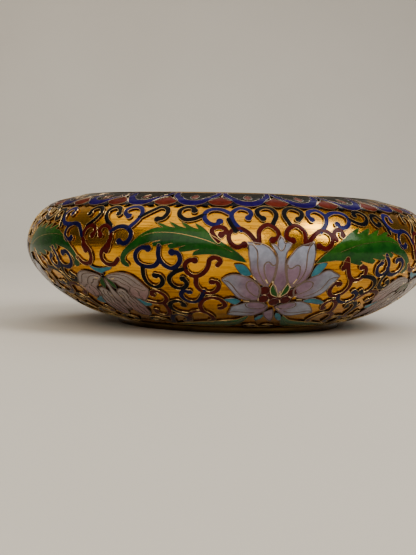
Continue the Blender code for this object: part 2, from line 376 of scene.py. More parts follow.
def scroll(enamel, drawn, half, bulbs, lift=0.0):
    """A narrow band of enamel along a curve, and the outline that its wires follow."""
    centre, width = scroll_edge(drawn, half, bulbs)
    normals = side_normals(centre, False)
    shares = (-1, -0.6, 0, 0.6, 1)
    rows = [centre + normals * (width * share)[:, None] for share in shares]
    count = len(centre)
    depths = np.repeat([FACE - lift + FACE_DIP * abs(share) ** 3 for share in shares], count)
    faces = []
    for row in range(len(shares) - 1):
        for i in range(count - 1):
            a, b = row * count + i, (row + 1) * count + i
            faces.append((a, b, b + 1, a + 1))
    enamel.add(np.vstack(rows), depths, faces)
    return np.vstack((rows[0], rows[-1][-2:0:-1]))


def covered(points, outlines):
    """Which points lie inside any of the outlines."""
    found = np.zeros(len(points), bool)
    for outline in outlines:
        found |= inside(points, outline)
    return found


def crossing(clear, hidden, outlines):
    """The last clear point between a clear one and a hidden one."""
    for _ in range(5):
        middle = (clear + hidden) / 2
        if covered(middle[None], outlines)[0]:
            hidden = middle
        else:
            clear = middle
    return clear


def merged_wires(stencil, outlines):
    """Wires round bands that run into each other, left out where one band covers another's edge."""
    for number, edge in enumerate(outlines):
        low, high = edge.min(axis=0), edge.max(axis=0)
        near = [other for k, other in enumerate(outlines)
                if k != number and (other.min(axis=0) < high).all() and (other.max(axis=0) > low).all()]
        hidden = covered(edge, near)
        if not hidden.any():
            wire(stencil, edge, closed=True)
            continue
        start = int(np.argmax(hidden))
        edge, hidden = np.roll(edge, -start, axis=0), np.roll(hidden, -start)
        edge, hidden = np.vstack((edge, edge[:1])), np.append(hidden, True)
        run = []
        for i in range(1, len(edge)):
            if hidden[i - 1] and not hidden[i]:
                run = [crossing(edge[i], edge[i - 1], near)]
            if not hidden[i]:
                run.append(edge[i])
            elif not hidden[i - 1]:
                run.append(crossing(edge[i - 1], edge[i], near))
                if len(run) > 3:
                    wire(stencil, np.array(run))


def lay(name, stencil, places, material, nodes=(), crease=50, drift=True):
    """A stencil laid on the bowl once for each axis and side, as one piece."""
    flat = np.vstack(stencil.points)
    wash = np.concatenate(stencil.wash)
    points, faces = [], []
    for number, (axis, side) in enumerate(places):
        nominal = axis + side * flat[:, 0] * (180 / FLOWERS / HALF_SECTOR if drift else 1.0)
        angle = drifted(nominal) if drift else nominal
        distance = flat[:, 1] / DRAWING_LENGTH * LENGTH[-1]
        limit = worn_depth(distance) + 0.00008
        depth = np.minimum(flat[:, 2] / 1000, limit)
        points.append(around(angle, *section_at(distance, depth)))
        start = number * len(flat)
        faces += [tuple(start + i for i in face[::side]) for face in stencil.faces]
    down = np.tile(flat[:, 1], len(places))
    return add_mesh(name, np.vstack(points), faces, material, nodes,
                    down=down, wash=np.tile(wash, len(places)), crease=crease)


# Finishes

def graph(name):
    """A new material, its node tree, and its shader."""
    material = bpy.data.materials.new(name)
    material.use_nodes = True
    tree = material.node_tree
    return material, tree, tree.nodes["Principled BSDF"]


def add_node(tree, kind, **values):
    """A node with its sockets set or linked by name."""
    made = tree.nodes.new(kind)
    for key, value in values.items():
        if key in made.bl_rna.properties:
            setattr(made, key, value)
    for key, value in values.items():
        if key in made.bl_rna.properties:
            continue
        socket = made.inputs[int(key[1:])] if key[0] == "_" else made.inputs[key]
        if isinstance(value, bpy.types.NodeSocket):
            tree.links.new(value, socket)
        else:
            socket.default_value = value
    return made


def noise(tree, vector, scale, detail=3.0, roughness=0.55, distortion=0.0):
    """Value of a noise texture."""
    return add_node(tree, "ShaderNodeTexNoise", Vector=vector, Scale=scale, Detail=detail,
                    Roughness=roughness, Distortion=distortion).outputs["Fac"]


def remap(tree, value, low, high, start=0.0, end=1.0):
    """A value stretched from one range to another, and held inside it."""
    return add_node(tree, "ShaderNodeMapRange", Value=value, _1=low, _2=high, _3=start, _4=end).outputs["Result"]


def blend(tree, share, first, second, kind="MIX"):
    """Two colours mixed by a share."""
    made = add_node(tree, "ShaderNodeMix", data_type="RGBA", blend_type=kind)
    for socket, value in ((0, share), (6, first), (7, second)):
        if isinstance(value, bpy.types.NodeSocket):
            tree.links.new(value, made.inputs[socket])
        else:
            made.inputs[socket].default_value = value
    return made.outputs[2]


def arithmetic(tree, operation, first, second):
    """A sum on two values."""
    return add_node(tree, "ShaderNodeMath", operation=operation, _0=first, _1=second).outputs[0]


def new_group(name, inputs, outputs):
    """An empty shader node group with named sockets."""
    group = bpy.data.node_groups.new(name, "ShaderNodeTree")
    for label, kind, value in inputs:
        socket = group.interface.new_socket(label, in_out="INPUT", socket_type=kind)
        socket.default_value = value
    for label, kind in outputs:
        group.interface.new_socket(label, in_out="OUTPUT", socket_type=kind)
    return group, group.nodes.new("NodeGroupInput").outputs, group.nodes.new("NodeGroupOutput").inputs


def use_group(tree, group, **values):
    """A node that uses a group, with its inputs set by name."""
    made = tree.nodes.new("ShaderNodeGroup")
    made.node_tree = group
    for label, value in values.items():
        socket = made.inputs[label.replace("_", " ")]
        if isinstance(value, bpy.types.NodeSocket):
            tree.links.new(value, socket)
        else:
            socket.default_value = value
    return made.outputs


def fired_group():
    """Ground and polished enamel: cloudy colour, fine pits, and a faint waviness."""
    group, given, out = new_group(
        "fired enamel",
        (("Deep", "NodeSocketColor", (0.1, 0.1, 0.1, 1)), ("Light", "NodeSocketColor", (0.2, 0.2, 0.2, 1)),
         ("Pits", "NodeSocketFloat", 0.5), ("Grain", "NodeSocketFloat", 900.0)),
        (("Color", "NodeSocketColor"), ("Roughness", "NodeSocketFloat"), ("Height", "NodeSocketFloat")))
    place = group.nodes.new("ShaderNodeTexCoord").outputs["Object"]
    cloud = noise(group, place, 260.0, 4.0, 0.6)
    grain = noise(group, place, given["Grain"], 2.0, 0.6)
    mixed = arithmetic(group, "ADD", arithmetic(group, "MULTIPLY", cloud, 0.65),
                       arithmetic(group, "MULTIPLY", grain, 0.35))
    colour = blend(group, remap(group, mixed, 0.36, 0.64), given["Deep"], given["Light"])
    cells = add_node(group, "ShaderNodeTexVoronoi", Vector=place, Scale=1500.0)
    lone = noise(group, place, 420.0, 1.0)
    dot = remap(group, cells.outputs["Distance"], 0.10, 0.26, 1.0, 0.0)
    dots = arithmetic(group, "MULTIPLY", dot, remap(group, lone, 0.56, 0.62))
    pits = arithmetic(group, "MULTIPLY", dots, given["Pits"])
    colour = blend(group, arithmetic(group, "MULTIPLY", pits, 0.75), colour, (0.012, 0.010, 0.010, 1))
    group.links.new(colour, out["Color"])
    smear = noise(group, place, 120.0, 3.0)
    rough = arithmetic(group, "ADD", remap(group, smear, 0.35, 0.7, 0.10, 0.22),
                       arithmetic(group, "MULTIPLY", pits, 0.4))
    group.links.new(rough, out["Roughness"])
    waves = arithmetic(group, "ADD", arithmetic(group, "MULTIPLY", cloud, 0.5),
                       arithmetic(group, "MULTIPLY", grain, 0.12))
    group.links.new(arithmetic(group, "SUBTRACT", waves, pits), out["Height"])
    return group


def brushed_group():
    """Gilding: lines brushed round the bowl, specks of dirt, and tarnish."""
    group, given, out = new_group(
        "brushed gilding",
        (("Bright", "NodeSocketColor", (0.8, 0.5, 0.1, 1)), ("Dull", "NodeSocketColor", (0.4, 0.2, 0.03, 1)),
         ("Brushing", "NodeSocketFloat", 1.0), ("Down", "NodeSocketFloat", 0.0)),
        (("Color", "NodeSocketColor"), ("Roughness", "NodeSocketFloat"), ("Height", "NodeSocketFloat")))
    place = group.nodes.new("ShaderNodeTexCoord").outputs["Object"]
    parts = add_node(group, "ShaderNodeSeparateXYZ", Vector=place)
    along = add_node(group, "ShaderNodeCombineXYZ", X=arithmetic(group, "MULTIPLY", parts.outputs["X"], 90.0),
                     Y=arithmetic(group, "MULTIPLY", parts.outputs["Y"], 90.0),
                     Z=arithmetic(group, "MULTIPLY", given["Down"], 1.5)).outputs[0]
    lines = noise(group, along, 1.0, 4.0, 0.65)
    tarnish = noise(group, place, 75.0, 5.0, 0.6)
    speck = noise(group, place, 1300.0, 2.0, 0.5)
    scored = arithmetic(group, "MULTIPLY", given["Brushing"], 0.6)
    dull = arithmetic(group, "ADD", remap(group, tarnish, 0.42, 0.72, 0.0, 0.65),
                      arithmetic(group, "MULTIPLY", remap(group, lines, 0.5, 0.62), scored))
    colour = blend(group, dull, given["Bright"], given["Dull"])
    colour = blend(group, remap(group, speck, 0.68, 0.76, 0.0, 0.8), colour, (0.05, 0.025, 0.01, 1))
    group.links.new(colour, out["Color"])
    rough = arithmetic(group, "ADD", remap(group, lines, 0.3, 0.7, 0.13, 0.22),
                       remap(group, tarnish, 0.4, 0.75, 0.0, 0.14))
    group.links.new(rough, out["Roughness"])
    height = arithmetic(group, "ADD", arithmetic(group, "MULTIPLY", lines, given["Brushing"]),
                        arithmetic(group, "MULTIPLY", speck, 0.35))
    group.links.new(height, out["Height"])
    return group


FIRED = fired_group()
BRUSHED = brushed_group()


def attribute(tree, name):
    """A value that the mesh carries."""
    return add_node(tree, "ShaderNodeAttribute", attribute_type="GEOMETRY", attribute_name=name).outputs["Fac"]


def enamel(name, deep, light, pits=0.6, washed=None, grain=900.0, shine=0.14):
    """Fired enamel in two tones, with a second pair of tones where the wash of colour is full."""
    material, tree, shader = graph(name)
    if washed:
        wash = attribute(tree, "wash")
        deep_socket = blend(tree, wash, (*deep, 1), (*washed[0], 1))
        light_socket = blend(tree, wash, (*light, 1), (*washed[1], 1))
    else:
        deep_socket, light_socket = (*deep, 1), (*light, 1)
    fired = use_group(tree, FIRED, Deep=deep_socket, Light=light_socket, Pits=pits, Grain=grain)
    tree.links.new(fired["Color"], shader.inputs["Base Color"])
    tree.links.new(fired["Roughness"], shader.inputs["Roughness"])
    bump = add_node(tree, "ShaderNodeBump", Strength=0.35, Distance=0.00012, Height=fired["Height"])
    tree.links.new(bump.outputs["Normal"], shader.inputs["Normal"])
    shader.inputs["IOR"].default_value = 1.5
    shader.inputs["Specular IOR Level"].default_value = shine
    return material


def gilding(name, bright, dull, brushing=1.0, bump_strength=0.25, grime_and_shade=None):
    """Gilt metal, brushed round the bowl, with dirt and painted shade where the mesh is washed with them."""
    material, tree, shader = graph(name)
    gilt = use_group(tree, BRUSHED, Bright=(*bright, 1), Dull=(*dull, 1), Brushing=brushing,
                     Down=attribute(tree, "down"))
    colour = gilt["Color"]
    if grime_and_shade:
        colour = blend(tree, attribute(tree, "wash"), colour, (*grime_and_shade, 1))
    tree.links.new(colour, shader.inputs["Base Color"])
    tree.links.new(gilt["Roughness"], shader.inputs["Roughness"])
    shader.inputs["Metallic"].default_value = 1.0
    bump = add_node(tree, "ShaderNodeBump", Strength=bump_strength, Distance=0.00010, Height=gilt["Height"])
    tree.links.new(bump.outputs["Normal"], shader.inputs["Normal"])
    return material


# Dirt and painted shade on the wires' lower walls, down in the recesses between the bands.
WALL_GRIME_AND_SHADE = (0.055, 0.026, 0.010)
ground_gilt = gilding("gilt ground", (0.80, 0.38, 0.014), (0.30, 0.115, 0.006), 1.0, 0.4)
lip_gilt = gilding("worn gilt lip", (0.20, 0.13, 0.06), (0.08, 0.05, 0.025), 0.6)
# The foot's gilding is painted very dark: painted shade from the bowl's shadow on the floor.
shaded_foot_gilt = gilding("gilt foot darkened by painted shade", (0.09, 0.052, 0.014), (0.02, 0.012, 0.005), 1.0)
wire_gilt = gilding("gilt wire", (0.52, 0.34, 0.13), (0.16, 0.09, 0.03), 0.2, 0.15, WALL_GRIME_AND_SHADE)
scroll_wire = gilding("scroll wire", (0.60, 0.40, 0.15), (0.18, 0.105, 0.035), 0.2, 0.15, WALL_GRIME_AND_SHADE)
worn_wire = gilding("worn border wire", (0.24, 0.17, 0.09), (0.09, 0.06, 0.03), 0.2, 0.15, WALL_GRIME_AND_SHADE)
dull_wire = gilding("bronzed petal wire", (0.19, 0.14, 0.12), (0.10, 0.07, 0.06), 0.2, 0.15, WALL_GRIME_AND_SHADE)
spot_gilt = gilding("bright gilt spot", (0.72, 0.54, 0.30), (0.50, 0.34, 0.16), 0.2, 0.15, WALL_GRIME_AND_SHADE)
cobalt = enamel("cobalt enamel", (0.005, 0.002, 0.034), (0.015, 0.006, 0.085), shine=0.0015)
navy = enamel("navy enamel", (0.003, 0.003, 0.022), (0.007, 0.006, 0.042), shine=0.05)
# The shoulder scrolls' cobalt enamel, painted lighter than the navy: painted light where the light falls on the
# shoulder.
blue = enamel("cobalt enamel lightened by painted light", (0.005, 0.004, 0.042), (0.012, 0.010, 0.095), shine=0.06)
black = enamel("black enamel", (0.002, 0.002, 0.003), (0.006, 0.006, 0.008), shine=0.04)
field = enamel("black field enamel", (0.008, 0.007, 0.006), (0.018, 0.015, 0.012), shine=0.0015)
oxblood = enamel("oxblood enamel", (0.034, 0.003, 0.002), (0.070, 0.006, 0.005), shine=0.06)
brick = enamel("brick red enamel", (0.055, 0.009, 0.005), (0.12, 0.019, 0.011), 0.9, shine=0.0015)
coral = enamel("coral enamel", (0.08, 0.026, 0.020), (0.15, 0.052, 0.038), 0.3, shine=0.0015)
turquoise = enamel("turquoise enamel", (0.012, 0.095, 0.13), (0.036, 0.17, 0.225))
green = enamel("leaf green enamel", (0.003, 0.028, 0.004), (0.008, 0.060, 0.006), 0.7,
               ((0.008, 0.046, 0.003), (0.020, 0.092, 0.006)), shine=0.13)
# A lighter copy of the leaf green for the lower leaves: painted light on leaves that face down into shade.
lit_lower_leaf_green = enamel("lower leaf green lightened by painted light", (0.012, 0.05, 0.018), (0.032, 0.11, 0.040), 0.7,
                    ((0.016, 0.065, 0.020), (0.04, 0.13, 0.045)), shine=0.2)
petal = enamel("petal enamel", (0.150, 0.160, 0.205), (0.25, 0.26, 0.325), 0.25,
               ((0.130, 0.075, 0.115), (0.205, 0.125, 0.180)), 600.0, 0.2)
bell = enamel("bell petal enamel", (0.18, 0.145, 0.137), (0.28, 0.235, 0.215), 0.25,
              ((0.16, 0.076, 0.084), (0.25, 0.132, 0.136)), 600.0, 0.2)
lining_blue = enamel("lining enamel", (0.012, 0.15, 0.19), (0.035, 0.23, 0.27), 1.0)


# Turned pieces: ground, lip, foot and enamel skins

def skin(start, extra, rows=120, level=ground_depth):
    """Section at a depth under the gilt ground, from a distance below the mouth to the foot."""
    distance = np.linspace(start, LENGTH[-1], rows)
    radius, height = section_at(distance, level(distance) + extra)
    return np.stack((radius, height), axis=-1), distance * 1000


def rounded(corners, radius, steps=5):
    """A closed section with its corners rounded."""
    corners = np.asarray(corners, float)
    points = []
    for before, corner, after in zip(np.roll(corners, 1, axis=0), corners, np.roll(corners, -1, axis=0)):
        back, ahead = before - corner, after - corner
        reach = min(radius, np.linalg.norm(back) * 0.49, np.linalg.norm(ahead) * 0.49)
        start = corner + back / np.linalg.norm(back) * reach
        end = corner + ahead / np.linalg.norm(ahead) * reach
        for t in np.linspace(0, 1, steps):
            points.append((1 - t) ** 2 * start + 2 * (1 - t) * t * corner + t ** 2 * end)
    return np.array(points)


def make_turned_pieces():
    """The gilt shell with its lip and foot, the lining, and the enamel under the base."""
    outside, down = skin(0.0, 0.0, level=worn_depth)
    inner, inner_down = skin(0.0, SHELL_WALL, 60)
    section = np.vstack((inner[::-1], outside, ((0.0, outside[-1, 1]),)))
    section = np.vstack((((0.0, inner[-1, 1]),), section))
    levels = np.concatenate(((inner_down[-1],), inner_down[::-1], down, (down[-1],)))
    section[[0, -1], 0] = 1e-5
    turned("gilt_shell", section, levels, ground_gilt, ["bowl_body"])

    face_r, face_z = section_at(0.0, 0.0)
    _, ground_z = section_at(0.0, GROUND_DEPTH)
    wall_r, _ = section_at(0.0, GROUND_DEPTH + SHELL_WALL)
    outer = face_r - CLEARANCE
    inner_edge = wall_r - CLEARANCE - 0.0011
    low = ground_z + CLEARANCE
    lip = [(outer, low), (outer, face_z + 0.00006), (inner_edge, face_z + 0.00006),
           (inner_edge, low - 0.0017), (wall_r - CLEARANCE, low - 0.0017), (wall_r - CLEARANCE, low)]
    lip = rounded(lip[::-1], 0.0006)
    turned("gilt_lip", lip, lip[:, 1] * 1000, lip_gilt, ["mouth_rim"], closed=True)

    foot = rounded([(0.0395, 0.0), (0.0425, 0.0), (0.0425, 0.0024), (0.0395, 0.0024)], 0.0005)
    turned("gilt_foot", foot, foot[:, 1] * 1000, shaded_foot_gilt, ["foot_ring"], closed=True)

    back, _ = skin(LINING_START, SHELL_WALL + CLEARANCE, 80)
    face, _ = skin(LINING_START, SHELL_WALL + CLEARANCE + LINING_THICKNESS, 80)
    section = np.vstack((((1e-5, face[-1, 1]),), face[::-1], back, ((1e-5, back[-1, 1]),)))
    turned("lining_enamel", section, section[:, 1] * 1000, lining_blue, ["inner_enamel"])

    edge = 0.0392
    disc = [(1e-5, 0.0024), (edge, 0.0024), (edge, 0.0020), (edge - 0.0003, 0.0018), (edge - 0.004, 0.0018),
            (1e-5, 0.0018)]
    turned("base_disc_enamel", disc[::-1], [p[0] * 1000 for p in disc[::-1]], lining_blue,
           ["base_enamel"])


# Border: one ruyi head on its centre line, and the lappet between two heads

HEAD_HALF_PITCH = 180 / RUYI_HEADS
HEAD_OUTER = [(7.35, 0.6, 1), (7.2, 3.0), (6.8, 5.4), (6.0, 7.4), (5.0, 9.2), (4.2, 10.8), (3.4, 12.4), (1.9, 13.6),
              (0.0, 14.0)]
HEAD_INNER = [(5.8, 0.6, 1), (5.6, 3.2), (4.6, 5.0), (4.5, 6.4), (3.3, 7.6), (3.0, 8.6), (2.1, 9.8), (1.0, 10.4),
              (0.0, 10.5)]
DROP = [(0.0, 3.8, 1), (0.8, 5.4), (1.25, 7.2), (0.8, 9.0), (0.0, 9.6)]
LAPPET = [(0.0, 6.4, 1), (0.5, 7.6), (1.5, 8.9), (2.4, 10.1), (3.3, 11.3, 1), (2.8, 12.5), (1.6, 13.5), (0.0, 13.9)]
NOTCH = [(3.5, 11.4, 1), (3.2, 12.4), (2.4, 13.5, 1), (3.6, 14.0), (4.9, 13.5, 1), (4.2, 12.5)]


def make_border():
    """The ring of ruyi heads round the shoulder, and the lappets hung between them."""
    heads = [(360 / RUYI_HEADS * n + HEAD_HALF_PITCH, 1) for n in range(RUYI_HEADS)]
    gaps = [(360 / RUYI_HEADS * n, 1) for n in range(RUYI_HEADS)]
    outer = smooth_half(HEAD_OUTER)
    inner = smooth_half(HEAD_INNER)
    band = Stencil()
    cell(band, np.vstack((outer, inner[::-1])))
    lay("border_ruyi_bands", band, heads, cobalt, ["ruyi_border"], drift=False)
    dark = Stencil()
    drop = closed_curve(mirrored(DROP))
    cell(dark, inner)
    lay("border_ruyi_fields", dark, heads, field, ["ruyi_border"], drift=False)
    red = Stencil()
    cell(red, drop, lift=0.03)
    lay("border_ruyi_drops", red, heads, coral, ["ruyi_border"], drift=False)
    fans = Stencil()
    fan = closed_curve(mirrored(LAPPET))
    cell(fans, fan)
    lay("border_lappets", fans, gaps, brick, ["ruyi_border"], drift=False)
    notches = Stencil()
    corner = closed_curve(NOTCH)
    cell(notches, corner, grid=0.6)
    both = gaps + [(angle, -1) for angle, _ in gaps]
    lay("border_notches", notches, both, black, ["ruyi_border"], drift=False)
    head_wires = Stencil()
    for line in (outer, inner):
        wire(head_wires, line)
    wire(head_wires, drop, closed=True, foot=0.5, half=0.07)
    lay("border_head_wires", head_wires, heads, worn_wire, ["ruyi_border"], drift=False)
    fan_wires = Stencil()
    wire(fan_wires, fan, closed=True)
    lay("border_lappet_wires", fan_wires, gaps, worn_wire, ["ruyi_border"], drift=False)


def smooth_half(half):
    """A symmetric open line from its right half, drawn from its upper end down to the axis."""
    points = [point[:2] for point in half]
    return smooth(points + [(-x, y) for x, y in points[-2::-1]])


# Lotus flower: coordinates from its axis, each petal with its fold line and the lobe at its root

TOP_PETAL = [(-0.5, 25.1, 1), (0.25, 26.3), (0.6, 27.5), (1.4, 27.2), (2.2, 27.7, 1), (1.7, 29.0), (1.1, 30.2),
             (0.85, 32.0), (0.85, 34.0), (1.1, 36.5), (1.7, 39.0), (2.1, 41.0), (1.9, 43.0), (1.2, 45.4),
             (0.7, 46.2, 1), (-0.2, 44.4), (-0.9, 42.6), (-1.2, 41.0), (-1.1, 38.5), (-1.0, 35.5),
             (-1.0, 33.2),
             (-1.2, 31.6), (-1.7, 30.0), (-2.2, 29.0), (-2.6, 28.0, 1), (-1.9, 28.0), (-1.2, 28.6),
             (-1.1, 27.0),
             (-0.8, 26.0)]
TOP_FORK = [(-1.1, 28.7), (-0.8, 29.4), (-0.3, 29.9), (0.3, 29.2), (0.6, 27.8)]
LEFT_UPPER_PETAL = [(-8.2, 27.3, 1), (-6.5, 27.5), (-4.8, 27.9), (-3.6, 28.6), (-2.5, 29.8), (-1.8, 31.2),
                    (-1.3, 32.6), (-1.25, 35.0), (-1.35, 38.0), (-1.8, 40.6), (-2.4, 42.8, 1), (-3.4, 42.6),
                    (-4.7, 41.5), (-5.8, 39.8), (-6.6, 38.0), (-7.2, 36.0), (-7.5, 33.5), (-7.8, 31.5),
                    (-7.9, 29.4)]
LEFT_UPPER_FOLD = [(-8.0, 28.2), (-7.1, 28.2), (-6.2, 29.3), (-5.8, 31.0), (-5.7, 34.0), (-5.4, 36.2),
                   (-4.7, 38.6), (-3.9, 40.6), (-3.0, 42.3)]
LEFT_UPPER_LOBE = [(-1.3, 34.2), (-1.7, 34.7), (-2.2, 34.6), (-2.7, 33.9), (-3.3, 33.5), (-3.95, 34.2), (-4.1, 35.6),
                   (-3.7, 38.0), (-2.9, 40.2), (-2.2, 41.9, 1), (-1.7, 40.5), (-1.4, 38.0), (-1.3, 36.0)]
RIGHT_UPPER_PETAL = [(7.6, 26.9, 1), (7.9, 28.4), (8.0, 30.5), (7.9, 32.5), (7.8, 34.4), (7.6, 36.4), (7.3, 38.0),
                     (6.8, 39.6), (6.0, 41.0), (4.8, 42.3), (3.5, 43.4, 1), (2.5, 41.6), (1.9, 39.6),
                     (1.4, 37.2),
                     (1.2, 34.8), (1.3, 33.0), (1.7, 31.9), (2.3, 30.9), (2.9, 29.8), (3.7, 28.8),
                     (4.7, 28.1),
                     (6.1, 27.6)]
RIGHT_UPPER_FOLD = [(7.4, 27.3), (6.5, 28.6), (6.05, 30.5), (6.0, 33.0), (6.1, 35.0), (6.0, 37.0), (5.6, 39.0),
                    (4.9, 41.0), (4.1, 42.5)]
RIGHT_UPPER_LOBE = [(1.4, 34.3), (1.8, 35.4), (2.4, 35.7), (3.1, 35.1), (3.7, 34.5), (4.4, 34.7), (4.65, 35.8),
                    (4.75, 37.3), (4.6, 39.2), (4.1, 41.0), (3.3, 42.4, 1), (2.5, 40.8), (1.9, 38.8),
                    (1.5, 36.6)]
LEFT_SIDE_PETAL = [(-14.0, 40.5, 1), (-13.3, 39.5), (-12.2, 38.6), (-11.0, 38.2), (-9.4, 38.5), (-8.0, 39.1),
                   (-6.8, 40.0), (-5.6, 41.2), (-4.8, 42.4), (-4.2, 43.8), (-4.0, 46.0), (-4.4, 49.6, 1),
                   (-5.8, 49.8), (-7.5, 49.6), (-9.0, 49.1), (-10.1, 48.0), (-11.0, 46.2), (-11.9, 44.4),
                   (-13.0, 42.3)]
LEFT_SIDE_FOLD = [(-13.4, 40.6), (-12.3, 41.2), (-11.3, 42.8), (-10.3, 45.0), (-9.2, 47.0), (-7.8, 48.5), (-6.2, 49.3)]
LEFT_SIDE_LOBE = [(-6.4, 40.6, 1), (-7.5, 40.9), (-7.9, 42.2), (-7.6, 43.9), (-6.8, 45.6), (-5.6, 47.1),
                  (-4.5, 47.9, 1), (-4.2, 46.0), (-4.4, 44.0), (-5.2, 42.2)]
RIGHT_SIDE_PETAL = [(15.9, 38.2, 1), (15.4, 39.8), (15.0, 41.2), (14.4, 43.0), (13.7, 44.8), (12.8, 46.4),
                    (11.5, 47.6), (9.8, 48.5), (8.0, 48.6), (6.3, 48.0), (5.1, 46.9, 1), (4.6, 45.0),
                    (4.8, 43.2),
                    (5.7, 41.6), (6.8, 40.4), (7.7, 39.4), (8.8, 38.4), (10.0, 37.7), (10.8, 36.8),
                    (11.8, 36.2),
                    (12.8, 36.2), (13.9, 36.9), (14.9, 37.5)]
RIGHT_SIDE_FOLD = [(15.5, 38.8), (14.2, 38.9), (13.2, 39.9), (12.8, 41.4), (12.2, 43.5), (11.2, 45.3), (9.6, 46.8),
                   (8.0, 47.6)]
RIGHT_SIDE_LOBE = [(6.2, 41.2, 1), (7.6, 40.5), (8.9, 40.9), (9.3, 42.2), (9.0, 43.8), (7.9, 45.2), (6.6, 46.2),
                   (5.3, 46.6, 1), (4.8, 45.0), (5.0, 43.2)]
LEFT_LOW_PETAL = [(-3.0, 51.1, 1), (-4.6, 50.7), (-6.4, 50.8), (-8.0, 51.6), (-9.3, 52.6), (-10.4, 53.2), (-11.3, 54.0),
                  (-11.7, 56.0), (-12.1, 58.0), (-12.5, 59.5, 1), (-11.0, 59.9), (-9.0, 60.1), (-7.0, 60.2),
                  (-5.3, 60.1), (-4.2, 59.6), (-3.0, 58.6), (-2.0, 57.4), (-1.2, 56.0), (-0.8, 54.2),
                  (-1.4, 52.4)]
LEFT_LOW_FOLD = [(-12.2, 58.6), (-11.0, 57.4), (-9.0, 57.3), (-7.0, 57.5), (-5.4, 57.5), (-4.0, 57.9)]
LEFT_LOW_LOBE = [(-6.1, 50.95, 1), (-7.2, 51.8), (-7.3, 53.0), (-6.3, 54.3), (-4.6, 54.9), (-2.6, 54.7), (-1.5, 53.6),
                 (-1.8, 52.3), (-3.2, 51.3, 1), (-4.6, 50.9)]
RIGHT_LOW_PETAL = [(4.4, 51.2, 1), (6.5, 50.4), (8.6, 50.4), (10.2, 51.3), (11.6, 52.4), (12.9, 54.0), (14.0, 55.8),
                   (14.9, 57.6, 1), (13.4, 58.1), (11.8, 58.5), (9.9, 59.2), (8.2, 59.7), (6.4, 59.5),
                   (4.8, 58.5),
                   (3.4, 57.0), (2.2, 55.4), (1.2, 53.8, 1), (2.0, 52.6), (3.2, 51.7)]
RIGHT_LOW_FOLD = [(14.3, 57.2), (13.2, 56.2), (12.0, 56.5), (10.4, 57.2), (8.4, 57.6), (6.4, 57.3), (4.8, 56.2)]
RIGHT_LOW_LOBE = [(2.1, 52.8, 1), (2.4, 54.0), (3.9, 54.8), (5.6, 54.7), (7.0, 53.8), (7.4, 52.6), (6.9, 51.2),
                  (5.6, 51.0), (3.8, 51.7)]
BOTTOM_PETAL = [(0.9, 55.0, 1), (1.5, 56.6), (2.1, 58.8), (2.7, 61.6), (2.9, 65.2, 1), (1.9, 64.2), (0.8, 62.6),
                (-0.3, 60.8), (-1.0, 59.2), (-1.4, 57.2, 1), (-0.5, 56.4)]
SEPALS = [[(-11.1, 34.6, 1), (-9.9, 34.4), (-8.6, 34.9), (-7.7, 36.2), (-6.8, 38.2, 1), (-7.8, 38.7), (-9.0, 38.4),
           (-9.9, 37.2), (-10.6, 35.9)],
          [(11.4, 33.6, 1), (10.0, 33.4), (8.9, 34.2), (8.3, 35.4), (7.9, 37.0), (7.8, 38.6, 1), (9.0, 38.3),
           (9.9, 37.4), (10.5, 36.2), (11.1, 34.8)],
          [(-13.7, 49.8, 1), (-12.4, 49.2), (-11.0, 48.9), (-9.8, 49.3), (-8.8, 50.4, 1), (-9.4, 51.6),
           (-10.3, 52.6),
           (-11.2, 52.0), (-12.2, 51.1)],
          [(8.6, 49.8, 1), (10.0, 48.8), (11.6, 48.6), (13.4, 49.1), (14.8, 49.9), (16.0, 51.0, 1),
           (15.0, 51.9),
           (13.6, 51.8), (12.2, 51.3), (10.8, 51.0), (9.6, 50.6)],
          [(2.6, 57.5, 1), (3.8, 58.1), (4.8, 59.6), (5.8, 61.8), (6.7, 64.7, 1), (5.2, 63.9), (3.9, 62.3),
           (2.9, 60.2)],
          [(-1.3, 58.9, 1), (-2.4, 60.0), (-3.2, 61.6), (-3.3, 63.0), (-2.7, 64.7, 1), (-1.5, 63.3),
           (-0.9, 61.4),
           (-0.9, 59.9)]]
HEART = [(-3.9, 43.6), (-2.4, 43.2), (-1.7, 44.8), (-0.8, 47.0), (0.5, 48.0), (2.0, 47.8), (3.0, 46.6), (3.8, 44.6),
         (5.2, 44.6), (5.7, 46.4), (5.0, 49.4), (3.9, 51.2), (2.4, 51.0), (1.2, 52.2), (-0.2, 52.2),
         (-1.4, 50.4),
         (-3.2, 50.6), (-4.0, 49.0), (-3.6, 47.2), (-4.3, 45.6)]
LEFT_PISTIL = [(-1.2, 41.6, 1), (-0.5, 42.8), (0.1, 44.6), (0.6, 46.4), (0.9, 47.9, 1), (-0.1, 47.4), (-1.0, 46.6),
               (-1.5, 45.0), (-1.6, 43.2)]
RIGHT_PISTIL = [(2.55, 41.2, 1), (3.1, 42.8), (3.3, 44.4), (2.9, 46.0), (2.1, 47.2), (1.5, 47.9, 1), (1.6, 46.2),
                (1.8, 44.4), (2.1, 42.8)]
MIDDLE_PISTIL = [(1.1, 44.8, 1), (1.35, 46.0), (1.25, 47.6, 1), (0.95, 46.0)]
DROPS = [(-3.1, 44.8), (-2.8, 49.0), (0.45, 50.6), (3.4, 49.4), (4.6, 45.8)]
DROP_RADII = (1.45, 2.05)
